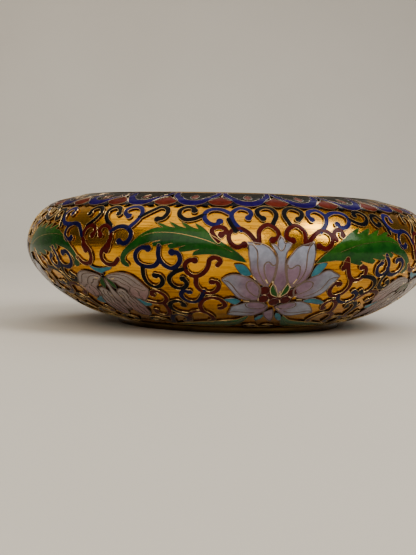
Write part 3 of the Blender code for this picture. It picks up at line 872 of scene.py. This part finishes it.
GILT_SPOTS = [((-6.5, 38.8), (-5.8, 40.1)), ((-3.4, 39.9), (-2.7, 41.4)), ((-1.6, 40.5), (-1.3, 41.4)),
              ((4.5, 39.6), (3.9, 41.4)), ((3.15, 42.5), (3.5, 43.3)), ((-3.1, 46.8), (-2.4, 47.0)),
              ((-4.25, 48.6), (-4.1, 50.0)), ((-1.25, 48.9), (-1.25, 50.3)), ((1.75, 49.3), (2.2, 50.9)),
              ((1.0, 47.7), (1.8, 47.8)), ((3.9, 47.5), (4.8, 48.2)), ((5.3, 47.3), (6.1, 47.5)),
              ((6.6, 49.2), (8.2, 49.3)), ((-8.2, 50.3), (-6.5, 50.5)), ((1.8, 54.2), (3.1, 55.5))]


def ramp(points, low, high):
    """Share of the way down between two heights of the drawing."""
    share = np.clip((points[:, 1] - low) / (high - low), 0, 1)
    return share * share * (3 - 2 * share)


def ellipse(centre, radii, count=18):
    """A small closed oval round a point of the drawing."""
    turn = np.linspace(0, 2 * math.pi, count, endpoint=False)
    return np.stack((centre[0] + radii[0] * np.cos(turn), centre[1] + radii[1] * np.sin(turn)), axis=-1)


def make_lotus():
    """The open lotus on each of the four axes."""
    axes = [(360 / FLOWERS * n, 1) for n in range(FLOWERS)]
    petals, lobes, sepals, pistils, drops = Stencil(), Stencil(), Stencil(), Stencil(), Stencil()
    dull, bright = Stencil(), Stencil()

    def fade(low, high, full=1.0):
        return lambda points: full * ramp(points, low, high)

    def outlined(stencil, drawn, tone=0.0, lift=0.0, half=LINE_HALF, foot=WIRE_FOOT):
        edge = closed_curve(drawn)
        cell(stencil, edge, tone, lift)
        wire(dull, edge, closed=True, half=half, foot=foot)

    outlined(petals, TOP_PETAL, fade(30, 39))
    wire(dull, smooth(TOP_FORK), foot=0.6, half=LINE_HALF)
    outlined(petals, BOTTOM_PETAL, 0.9)
    upper, side, low = fade(31, 39), inward(13.5, 6.0), inward(9.0, 2.0)
    for outline, fold, lobe, tone in ((LEFT_UPPER_PETAL, LEFT_UPPER_FOLD, LEFT_UPPER_LOBE, upper),
                                      (RIGHT_UPPER_PETAL, RIGHT_UPPER_FOLD, RIGHT_UPPER_LOBE, upper),
                                      (LEFT_SIDE_PETAL, LEFT_SIDE_FOLD, LEFT_SIDE_LOBE, side),
                                      (RIGHT_SIDE_PETAL, RIGHT_SIDE_FOLD, RIGHT_SIDE_LOBE, side),
                                      (LEFT_LOW_PETAL, LEFT_LOW_FOLD, LEFT_LOW_LOBE, low),
                                      (RIGHT_LOW_PETAL, RIGHT_LOW_FOLD, RIGHT_LOW_LOBE, low)):
        outlined(petals, outline, tone)
        outlined(lobes, lobe, 0.95, lift=0.02, foot=0.6)
        wire(dull, smooth(fold), foot=0.6, half=LINE_HALF)
    for outline in SEPALS:
        outlined(sepals, outline, lift=0.01, half=WIRE_HALF)
    cell(drops, closed_curve(HEART), lift=0.015)
    for centre in DROPS:
        edge = ellipse(centre, DROP_RADII)
        cell(drops, edge, lift=0.025, grid=0.7)
        wire(dull, edge, closed=True, half=0.08, foot=0.6)
    for outline in (LEFT_PISTIL, RIGHT_PISTIL, MIDDLE_PISTIL):
        edge = closed_curve(outline)
        cell(pistils, edge, 0.4, lift=0.035, grid=0.7)
        wire(bright, edge, closed=True, half=0.12, top=WIRE_TOP - 0.01, foot=0.6)
    for ends in GILT_SPOTS:
        wire(bright, np.array([ends[0], np.mean(ends, axis=0), ends[1]]), half=0.22, top=WIRE_TOP - 0.015, foot=0.6)
    nodes = [f"lotus_flower_{n + 1}" for n in range(FLOWERS)]
    lay("lotus_petals", petals, axes, petal, nodes)
    lay("lotus_petal_lobes", lobes, axes, petal, nodes)
    lay("lotus_sepals", sepals, axes, turquoise, nodes)
    lay("lotus_pistils", pistils, axes, green, nodes)
    lay("lotus_drops", drops, axes, oxblood, nodes)
    lay("lotus_wires", dull, axes, dull_wire, nodes)
    lay("lotus_gilt_spots", bright, axes, spot_gilt, nodes)


def inward(outer, inner):
    """Wash of colour from a petal's outer end in to the flower's middle."""
    def tone(points):
        share = np.clip((outer - np.abs(points[:, 0])) / (outer - inner), 0, 1)
        return share * share * (3 - 2 * share)
    return tone


# Hanging flower: right half, from its axis

CAP = [(-3.4, 36.2, 1), (-1.6, 37.3), (0.2, 37.5), (2.2, 37.1), (4.3, 36.7, 1), (3.3, 38.0), (1.9, 38.6), (0.8, 39.2),
       (0.0, 39.8, 1), (-1.2, 39.2), (-2.4, 38.3), (-3.1, 37.2)]
BELL_SIDE = [(0.9, 41.2, 1), (1.6, 40.4), (2.8, 39.9), (4.2, 39.4), (5.7, 39.1), (7.2, 39.2), (8.6, 39.8), (9.8, 41.0),
             (10.8, 42.6), (11.6, 44.4), (12.4, 46.0, 1), (12.0, 47.8), (11.1, 49.6), (10.2, 51.2),
             (9.5, 52.3, 1),
             (8.2, 51.1), (6.9, 51.3), (5.9, 50.4), (5.2, 49.0), (5.5, 47.4), (5.0, 46.0), (3.8, 45.0),
             (3.0, 43.4),
             (1.8, 42.4)]
BELL_LINES = [[(1.8, 41.2), (3.4, 40.8), (5.0, 41.2), (6.3, 42.3), (7.3, 43.7), (8.0, 45.0), (9.3, 45.6), (10.3, 46.5),
               (11.4, 46.6)],
              [(2.8, 42.4), (4.2, 42.5), (5.2, 43.8), (6.4, 44.6), (6.9, 45.6), (6.3, 46.8), (6.0, 48.0),
               (6.2, 49.4),
               (6.9, 50.5)],
              [(8.2, 46.2), (8.9, 47.6), (8.5, 49.2), (9.1, 50.9)],
              [(3.4, 39.9), (5.6, 39.9), (7.6, 40.6), (8.9, 42.2), (9.8, 43.8), (11.2, 45.0)]]
BELL_LEAF = [(0.5, 41.1, 1), (1.7, 42.0), (2.4, 43.8), (2.5, 45.4), (2.1, 46.9, 1), (1.3, 45.8), (0.7, 43.8)]
BELL_MIDDLE = [(0.0, 41.6, 1), (0.5, 44.0), (0.6, 46.6), (1.1, 49.0), (1.4, 51.4), (0.9, 54.0), (1.0, 56.6),
               (0.0, 60.2, 1)]
BELL_HANGING = [(2.0, 47.0, 1), (3.2, 46.2), (4.6, 46.9), (5.1, 49.0), (5.9, 50.9), (7.0, 52.4), (7.6, 55.0),
                (7.6, 58.0), (7.3, 60.6), (6.4, 62.6), (4.6, 63.3), (3.0, 62.6), (2.0, 60.6), (1.2, 58.4),
                (1.1, 55.6),
                (1.6, 52.8), (1.2, 50.4), (1.4, 48.4)]
BELL_HANGING_LINES = [[(2.2, 48.2), (2.8, 50.2), (2.5, 52.4), (3.1, 54.6), (2.5, 56.8), (2.6, 60.4)],
                      [(3.4, 47.6), (4.2, 50.0), (3.9, 52.4), (4.8, 55.0), (4.3, 58.0), (4.8, 61.9)],
                      [(4.9, 50.0), (5.6, 52.4), (5.5, 55.2), (6.2, 58.0), (6.0, 61.2)]]
BELL_TIP = [(6.1, 50.9, 1), (7.6, 50.8), (8.4, 52.2), (9.8, 52.8), (11.1, 54.0, 1), (10.0, 55.4), (8.2, 55.7),
            (7.2, 54.4), (6.7, 52.8)]
BELL_SPOTS = [((2.2, 42.0), (3.4, 41.6)), ((1.3, 50.2), (1.9, 50.6))]


def make_hanging_flower():
    """The bell-like flower midway between two lotus flowers."""
    axes = [(360 / FLOWERS * (n + 0.5), 1) for n in range(FLOWERS)]
    petals, tips, leaves, dull, bright = Stencil(), Stencil(), Stencil(), Stencil(), Stencil()
    cap = closed_curve(CAP)
    cell(tips, cap)
    wire(dull, cap, closed=True)
    middle = closed_curve(mirrored(BELL_MIDDLE))
    cell(petals, middle, lambda points: 0.6 * ramp(points, 46, 60), lift=0.01)
    wire(dull, middle, closed=True, half=LINE_HALF)
    for turn in (lambda drawn: drawn, flipped):
        for outline, lines, tone in ((BELL_SIDE, BELL_LINES, lambda points: 0.8 * ramp(points, 41, 51)),
                                     (BELL_HANGING, BELL_HANGING_LINES, lambda points: ramp(points, 48, 62))):
            edge = closed_curve(turn(outline))
            cell(petals, edge, tone)
            wire(dull, edge, closed=True, half=LINE_HALF)
            for line in lines:
                wire(dull, smooth(turn(line)), foot=0.6, half=LINE_HALF)
        edge = closed_curve(turn(BELL_LEAF))
        cell(leaves, edge, 0.2, lift=0.03, grid=0.7)
        wire(dull, edge, closed=True)
        edge = closed_curve(turn(BELL_TIP))
        cell(tips, edge, lift=0.02)
        wire(dull, edge, closed=True)
        for ends in BELL_SPOTS:
            spot = np.array(turn([ends[0], tuple(np.mean(ends, axis=0)), ends[1]]))
            wire(bright, spot, half=0.20, top=WIRE_TOP - 0.015, foot=0.6)
    knot = ellipse((0.0, 40.2), (0.6, 0.5), 12)
    wire(dull, knot, closed=True)
    nodes = [f"hanging_flower_{n + 1}" for n in range(FLOWERS)]
    lay("bell_petals", petals, axes, bell, nodes)
    lay("bell_caps_and_tips", tips, axes, turquoise, nodes)
    lay("bell_leaves", leaves, axes, green, nodes)
    lay("bell_wires", dull, axes, dull_wire, nodes)
    lay("bell_gilt_spots", bright, axes, spot_gilt, nodes)


# Leaves, drawn from a lotus flower outwards

LEFT_LEAF = [(8.2, 33.9, 1), (9.4, 31.7), (12.6, 28.7), (15.2, 26.4), (16.4, 25.5, 1), (17.4, 24.2), (18.7, 22.7),
             (20.5, 21.4, 1), (20.2, 22.4), (19.5, 23.6, 1), (21.2, 22.8), (22.5, 21.8), (23.9, 21.1, 1),
             (23.4, 22.1), (22.5, 23.3, 1), (24.2, 22.6), (25.5, 21.7), (26.9, 21.0, 1), (26.3, 22.0),
             (25.2, 23.2, 1), (27.1, 22.7), (28.5, 21.9), (30.0, 21.6, 1), (29.3, 22.4), (28.1, 23.2, 1),
             (29.9, 23.3), (31.8, 24.3), (33.6, 25.8), (35.1, 27.6), (36.9, 29.6), (38.4, 31.8), (39.1, 34.2),
             (38.4, 36.2), (37.0, 36.6), (36.8, 35.5), (37.6, 34.2), (37.2, 32.8), (35.8, 31.2), (33.9, 29.8),
             (31.6, 28.4), (28.2, 27.4, 1), (30.4, 28.4), (30.2, 29.4, 1), (28.6, 29.3), (27.2, 28.8),
             (25.3, 28.2, 1), (26.6, 29.0), (26.0, 30.2, 1), (24.3, 29.6), (22.3, 28.8, 1), (23.9, 29.9),
             (23.7, 31.1, 1), (21.6, 30.7), (19.1, 30.0, 1), (20.4, 30.8), (20.8, 32.1, 1), (18.6, 31.7),
             (16.3, 31.6), (14.4, 32.1), (12.2, 32.8), (10.3, 33.5)]
LEFT_RIB = [(11.6, 30.6), (13.8, 29.2), (17.0, 27.4), (20.2, 26.2), (24.0, 25.2), (28.0, 24.9), (31.0, 25.3),
            (33.4, 26.5)]
RIGHT_LEAF = [(8.2, 33.9, 1), (9.6, 31.6), (12.4, 28.8), (15.0, 26.2), (17.2, 24.0), (18.8, 22.8), (20.8, 21.6, 1),
              (20.5, 22.7), (19.9, 23.9, 1), (21.6, 23.0), (22.8, 22.2), (24.2, 21.6, 1), (23.9, 22.8),
              (23.2, 24.2, 1), (24.9, 23.3), (26.2, 22.5), (27.6, 22.0, 1), (27.1, 23.0), (26.3, 24.3, 1),
              (28.0, 23.6), (29.4, 22.9), (30.8, 22.9, 1), (30.4, 23.6), (29.6, 24.4, 1), (31.2, 24.6),
              (32.8, 25.6), (34.6, 27.0), (36.2, 28.6), (37.8, 30.4), (39.2, 32.4), (39.9, 34.8),
              (39.3, 36.9),
              (37.8, 37.4), (37.4, 36.2), (38.0, 34.8), (37.6, 33.4), (36.4, 32.0), (34.8, 31.0),
              (33.0, 30.4),
              (30.6, 29.6, 1), (31.8, 30.6), (31.2, 31.7, 1), (29.6, 31.2), (27.6, 30.6, 1), (28.9, 31.6),
              (28.3, 32.9, 1), (26.4, 32.3), (24.4, 31.8, 1), (25.5, 32.7), (24.8, 33.8, 1), (22.8, 33.4),
              (20.6, 32.7, 1), (21.6, 33.6), (21.0, 34.4, 1), (18.8, 33.8), (16.2, 33.0), (13.6, 32.8),
              (11.2, 33.2)]
RIGHT_RIB = [(14.6, 30.0), (17.6, 28.5), (20.6, 27.4), (24.0, 26.6), (28.0, 26.2), (31.0, 26.2), (34.2, 27.0)]
LOWER_LEAF = [(5.4, 59.4, 1), (7.4, 61.6), (9.6, 63.8), (12.6, 65.0), (17.0, 66.0), (22.0, 67.2), (26.0, 68.6),
              (30.0, 70.2), (34.0, 72.0), (37.2, 73.6, 1), (33.0, 74.0), (28.0, 74.3), (22.0, 74.4),
              (16.0, 74.2),
              (12.4, 73.2), (9.6, 71.0), (7.6, 67.4), (6.2, 63.4)]
LOWER_RIB = [(7.0, 62.8), (9.8, 67.0), (14.0, 69.8), (20.0, 71.4), (26.0, 72.4), (32.0, 73.1)]


def make_leaves():
    """The toothed upper leaves and the plain lower leaves, on both sides of each lotus flower."""
    for label, side, upper, upper_rib in (("right", 1, RIGHT_LEAF, RIGHT_RIB), ("left", -1, LEFT_LEAF, LEFT_RIB)):
        places = [(360 / FLOWERS * n, side) for n in range(FLOWERS)]
        numbers = range(1 if side > 0 else 2, 2 * FLOWERS + 1, 2)
        for level, outline, rib, material in (("upper", upper, upper_rib, green),
                                              ("lower", LOWER_LEAF, LOWER_RIB, lit_lower_leaf_green)):
            body, wires = Stencil(), Stencil()
            edge = closed_curve(outline)
            line = smooth(rib)

            def tone(points):
                height = np.interp(points[:, 0], line[:, 0], line[:, 1])
                return np.clip(0.5 + (height - points[:, 1]) * 0.35, 0, 1)

            cell(body, edge, tone)
            wire(wires, edge, closed=True)
            wire(wires, line, foot=0.6, half=0.08)
            nodes = [f"{level}_leaf_{n}" for n in numbers]
            lay(f"{level}_leaves_{label}", body, places, material, nodes)
            lay(f"{level}_leaf_wires_{label}", wires, places, wire_gilt, nodes)


# Scrolls, drawn from the root to the bulb, outwards from a lotus flower

SCROLL_HALF = 0.82
BULB = 1.16
SCROLLS = [
    ("black", [(2.1, 21.2), (1.0, 17.6), (1.9, 14.9), (3.6, 14.2), (5.6, 15.8), (5.4, 18.0), (4.4, 19.2)]),
    ("blue", [(9.6, 23.6), (11.4, 20.8), (11.9, 17.6), (10.0, 15.0), (7.8, 15.8), (7.2, 17.6), (7.9, 19.1)]),
    ("blue", [(12.4, 17.4), (14.4, 15.9), (16.8, 15.8), (18.3, 17.4), (18.3, 19.8), (17.0, 21.6),
              (15.5, 21.9), (14.7, 20.7)]),
    ("black", [(18.5, 18.2), (20.6, 19.8), (22.8, 20.3), (24.5, 18.8), (24.7, 16.6), (23.4, 15.0),
               (21.7, 15.1), (21.1, 16.6)]),
    ("black", [(42.3, 23.0), (44.3, 20.6), (45.2, 18.0), (44.6, 15.9), (43.0, 15.2), (41.6, 16.2),
               (41.3, 18.2)]),
    ("red", [(6.2, 27.4), (8.0, 24.5), (10.2, 23.0), (12.3, 24.6), (12.2, 27.4), (10.6, 29.0), (8.9, 28.2)]),
    ("red", [(5.5, 27.4), (5.4, 23.6), (3.4, 21.5), (1.3, 23.2), (1.0, 25.6), (2.4, 26.6)]),
    ("red", [(42.2, 28.2), (42.1, 30.0), (42.9, 31.2)]),
    ("red", [(39.6, 34.0), (41.3, 35.9), (43.4, 35.8), (44.5, 33.8), (44.2, 31.6), (43.0, 30.0), (42.0, 28.4),
             (41.7, 26.4), (42.2, 24.2), (43.6, 22.9), (45.0, 23.4), (45.5, 24.9), (44.9, 26.3)]),
    ("red", [(25.8, 66.2), (25.2, 62.4), (24.0, 59.2), (21.6, 57.7), (19.2, 58.5), (17.5, 61.4),
             (17.1, 64.2), (18.2, 65.6)]),
    ("navy", [(33.4, 69.6), (32.3, 65.0), (30.6, 62.0), (28.4, 61.3), (26.5, 63.0), (26.2, 65.8),
              (27.6, 67.2)]),
    ("red", [(31.2, 53.2), (30.9, 57.6), (31.8, 61.0), (34.0, 62.6), (36.2, 61.0), (35.6, 58.4)]),
    ("black", [(34.4, 70.8), (36.4, 66.4), (40.2, 65.2), (42.6, 67.4), (41.0, 69.2)]),
    ("navy", [(0.4, 73.6), (2.4, 74.2), (4.8, 73.4), (5.6, 71.2), (4.0, 69.8), (2.0, 70.2), (2.4, 71.8)])]

# The scrolls that are drawn a little differently on the two sides

LEFT_SCROLLS = [
    ("black", [(12.6, 19.9), (12.0, 21.6), (11.0, 23.6)]),
    ("blue", [(37.2, 23.8), (35.2, 20.8), (34.6, 17.6), (35.8, 15.4), (37.8, 15.1), (39.4, 16.3),
              (39.3, 18.2), (38.0, 19.3)]),
    ("navy", [(42.0, 25.0), (40.2, 23.4), (38.0, 23.3), (36.3, 25.0), (36.3, 27.2), (37.7, 28.8),
              (39.2, 28.2)]),
    ("black", [(34.9, 19.6), (31.8, 16.6), (30.0, 15.0), (28.3, 15.7), (27.8, 17.8), (28.6, 19.8),
               (30.0, 20.3)]),
    ("red", [(14.8, 27.2), (16.0, 25.4), (16.4, 23.8), (15.3, 22.8), (13.8, 22.9), (13.1, 24.2),
             (14.2, 25.3)]),
    ("navy", [(28.6, 33.4), (29.8, 35.6), (31.6, 36.3), (33.6, 35.7), (34.7, 33.8), (34.5, 31.6),
              (33.1, 29.9), (31.4, 30.2)]),
    ("navy", [(28.7, 29.4), (28.8, 32.8), (27.8, 35.2), (26.0, 36.6), (24.4, 35.5), (23.6, 33.4),
              (24.2, 31.4), (25.6, 31.2)]),
    ("black", [(33.2, 36.2), (33.6, 40.0), (33.2, 42.8), (31.6, 44.6), (29.8, 43.7), (28.8, 41.6),
               (29.3, 39.6), (30.5, 39.6)]),
    ("black", [(22.4, 36.4), (25.2, 37.9), (26.9, 40.2), (26.9, 42.8), (25.4, 44.7), (23.5, 44.3),
               (22.7, 42.2), (23.5, 40.5)]),
    ("red", [(14.9, 35.0), (14.2, 33.6), (15.3, 32.4), (16.7, 33.2), (17.0, 35.0), (17.8, 37.2), (19.4, 39.0),
             (21.0, 39.2), (22.4, 37.4), (22.5, 35.0), (21.4, 33.6), (20.2, 33.6)]),
    ("red", [(20.1, 39.4), (20.3, 43.0), (19.2, 45.6), (17.3, 46.7), (15.5, 45.6), (14.7, 43.4),
             (15.1, 41.6), (16.3, 41.5)]),
    ("navy", [(18.5, 45.6), (19.4, 48.6), (20.6, 50.9), (22.5, 51.8), (24.3, 50.4), (24.9, 47.8),
              (23.9, 45.9), (22.5, 46.4)]),
    ("red", [(36.4, 52.4), (33.6, 53.5), (31.2, 53.0), (29.7, 50.8), (30.0, 48.2), (31.6, 46.7),
             (33.1, 47.2), (33.3, 48.7)]),
    ("black", [(24.4, 60.0), (27.2, 59.5), (29.1, 57.8), (29.7, 55.0), (28.6, 52.4), (26.6, 51.5),
               (25.2, 52.6), (25.3, 54.1)]),
    ("red", [(19.4, 58.8), (20.3, 56.0), (20.2, 53.2), (19.2, 50.6), (17.2, 49.0),
             (15.0, 49.4), (13.5, 51.4), (13.2, 53.6), (14.4, 55.0)])]
RIGHT_SCROLLS = [
    ("blue", [(36.4, 22.6), (33.2, 22.3), (31.4, 20.2), (31.3, 17.6), (32.8, 15.8), (34.4, 16.4),
              (34.2, 18.3)]),
    ("navy", [(41.2, 26.4), (39.4, 23.1), (36.9, 22.3), (35.0, 23.8), (34.6, 26.2), (35.8, 28.0),
              (37.3, 27.5)]),
    ("black", [(31.4, 23.2), (30.3, 19.0), (28.8, 16.2), (27.1, 16.6), (26.5, 18.8), (27.6, 20.7),
               (28.7, 20.0)]),
    ("red", [(13.6, 26.0), (13.0, 24.2), (14.0, 22.7), (15.4, 23.1), (15.5, 24.4)]),
    ("navy", [(29.2, 30.8), (30.7, 33.6), (30.8, 36.2), (29.2, 38.0), (27.5, 37.2), (26.9, 34.8),
              (28.0, 33.4)]),
    ("navy", [(30.6, 35.0), (32.2, 37.4), (34.4, 37.7), (36.4, 36.2), (36.6, 33.8), (35.3, 32.1),
              (33.7, 32.6)]),
    ("red", [(16.8, 32.2), (17.6, 35.6), (18.8, 38.4), (20.6, 40.0), (22.6, 39.4), (23.5, 37.2),
             (22.8, 35.2), (21.6, 34.9)]),
    ("red", [(16.4, 33.0), (16.2, 35.2)]),
    ("red", [(19.6, 39.2), (20.4, 42.0), (20.2, 44.8), (18.8, 47.1), (16.8, 47.3), (15.2, 45.4),
             (14.9, 42.8), (15.8, 41.1), (16.9, 41.7)]),
    ("navy", [(18.8, 46.7), (20.0, 49.6), (22.2, 51.0), (24.6, 50.6), (25.6, 48.4), (24.9, 46.2),
              (23.3, 45.2)]),
    ("black", [(22.8, 38.4), (25.8, 38.7), (28.2, 40.2), (29.3, 42.8), (28.7, 45.4), (27.0, 46.3),
               (25.8, 45.0)]),
    ("black", [(31.6, 36.9), (30.6, 40.0), (31.6, 43.0), (34.0, 43.6), (34.9, 41.8), (33.6, 40.7)]),
    ("red", [(22.2, 58.6), (21.6, 55.2), (20.6, 51.8), (18.8, 49.8), (17.0, 50.6), (16.5, 53.0),
             (17.6, 55.0)]),
    ("black", [(30.8, 59.4), (30.4, 56.4), (29.2, 52.8), (27.2, 51.2), (25.7, 52.4), (26.4, 54.2)]),
    ("red", [(26.6, 49.6), (28.6, 45.8), (31.4, 45.2), (33.6, 46.6), (33.8, 49.2), (32.4, 50.3)])]


def make_scrolls():
    """The curled bands of enamel between the flowers, a piece of each colour on each side, and their wires."""
    colours = {"black": (black, "black_enamel"), "blue": (blue, "cobalt_enamel"), "navy": (navy, "cobalt_enamel"),
               "red": (oxblood, "oxblood_enamel")}
    for label, side, drawings in (("right", 1, SCROLLS + RIGHT_SCROLLS), ("left", -1, SCROLLS + LEFT_SCROLLS)):
        places = [(360 / FLOWERS * n, side) for n in range(FLOWERS)]
        bands = {colour: Stencil() for colour in colours}
        edges = [scroll(bands[colour], drawn, SCROLL_HALF, (SCROLL_HALF, BULB), lift=0.0015 * number)
                 for number, (colour, drawn) in enumerate(drawings)]
        for colour, (material, slot) in colours.items():
            lay(f"{colour}_scrolls_{label}", bands[colour], places, material)
        wires = Stencil()
        merged_wires(wires, edges)
        lay(f"scroll_wires_{label}", wires, places, scroll_wire)


# Floor, light and camera

def make_stage():
    """A pale floor that turns up into a backdrop."""
    material, tree, shader = graph("pale paper")
    place = tree.nodes.new("ShaderNodeTexCoord").outputs["Object"]
    soft = noise(tree, place, 6.0, 3.0)
    tree.links.new(blend(tree, soft, (0.56, 0.52, 0.46, 1), (0.62, 0.58, 0.52, 1)), shader.inputs["Base Color"])
    shader.inputs["Roughness"].default_value = 0.85
    width = 3.0
    near, far, height, bend = -1.6, 1.3, 2.0, 0.5
    section = [(near, 0.0), (far - bend, 0.0)]
    turns = np.linspace(0, math.pi / 2, 16)[1:]
    section += [(far - bend + bend * math.sin(turn), bend - bend * math.cos(turn)) for turn in turns]
    section.append((far, height))
    points = [(x, y, z) for x in (-width, width) for y, z in section]
    count = len(section)
    faces = [(i, count + i, count + i + 1, i + 1) for i in range(count - 1)]
    mesh = bpy.data.meshes.new("floor")
    mesh.from_pydata(points, [], faces)
    mesh.shade_smooth()
    mesh.materials.append(material)
    floor = bpy.data.objects.new("floor", mesh)
    bpy.context.scene.collection.objects.link(floor)


def add_light(name, place, target, size, power, colour):
    """A soft rectangular light turned towards a point."""
    light = bpy.data.lights.new(name, "AREA")
    light.shape = "RECTANGLE"
    light.size, light.size_y = size
    light.energy = power
    light.color = colour
    lamp = bpy.data.objects.new(name, light)
    lamp.location = place
    lamp.rotation_euler = (Vector(target) - Vector(place)).to_track_quat("-Z", "Y").to_euler()
    bpy.context.scene.collection.objects.link(lamp)


def make_light():
    """Soft light from above and behind, a window on the right, and a dim room."""
    world = bpy.data.worlds.new("room")
    world.use_nodes = True
    back = world.node_tree.nodes["Background"]
    back.inputs["Color"].default_value = (0.85, 0.88, 0.95, 1)
    back.inputs["Strength"].default_value = 0.08
    bpy.context.scene.world = world
    middle = (0.0, 0.0, 0.03)
    add_light("sky light", (-0.15, -0.20, 1.25), middle, (2.4, 1.9), 18.0, (1.0, 0.90, 0.74))
    add_light("back light", (0.3, 1.2, 1.0), middle, (1.2, 0.7), 9.0, (0.92, 0.96, 1.0))
    add_light("window", (0.66, -0.56, 0.72), middle, (0.42, 0.70), 9.0, (1.0, 0.98, 0.92))
    add_light("front fill", (-0.5, -1.1, 0.6), (0.0, -0.1, 0.0), (1.4, 0.6), 8.0, (1.0, 0.93, 0.82))


CAMERA_AZIMUTH = -12.21
CAMERA_DISTANCE = 0.36354
CAMERA_HEIGHT = 0.0328
CAMERA_YAW = 1.29
CAMERA_PITCH = 2.45
CAMERA_ROLL = 1.37
FOCAL_PIXELS = 935.1
IMAGE_HEIGHT = 555
SENSOR = 36.0


def make_camera():
    """The camera at the photographed angle, low in front of the bowl and a little to its left."""
    data = bpy.data.cameras.new("camera")
    data.sensor_fit = "AUTO"
    data.sensor_width = SENSOR
    data.lens = FOCAL_PIXELS / IMAGE_HEIGHT * SENSOR
    data.clip_start, data.clip_end = 0.01, 20.0
    camera = bpy.data.objects.new("camera", data)
    turn = math.radians(CAMERA_AZIMUTH)
    camera.location = (CAMERA_DISTANCE * math.sin(turn), -CAMERA_DISTANCE * math.cos(turn), CAMERA_HEIGHT)
    look = Euler((math.radians(90 - CAMERA_PITCH), 0, turn + math.radians(CAMERA_YAW)), "XYZ").to_matrix()
    tilt = Euler((0, 0, math.radians(CAMERA_ROLL)), "XYZ").to_matrix()
    camera.rotation_euler = (look @ tilt).to_euler()
    bpy.context.scene.collection.objects.link(camera)
    bpy.context.scene.camera = camera


make_turned_pieces()
make_border()
make_lotus()
make_hanging_flower()
make_leaves()
make_scrolls()
make_stage()
make_light()
make_camera()
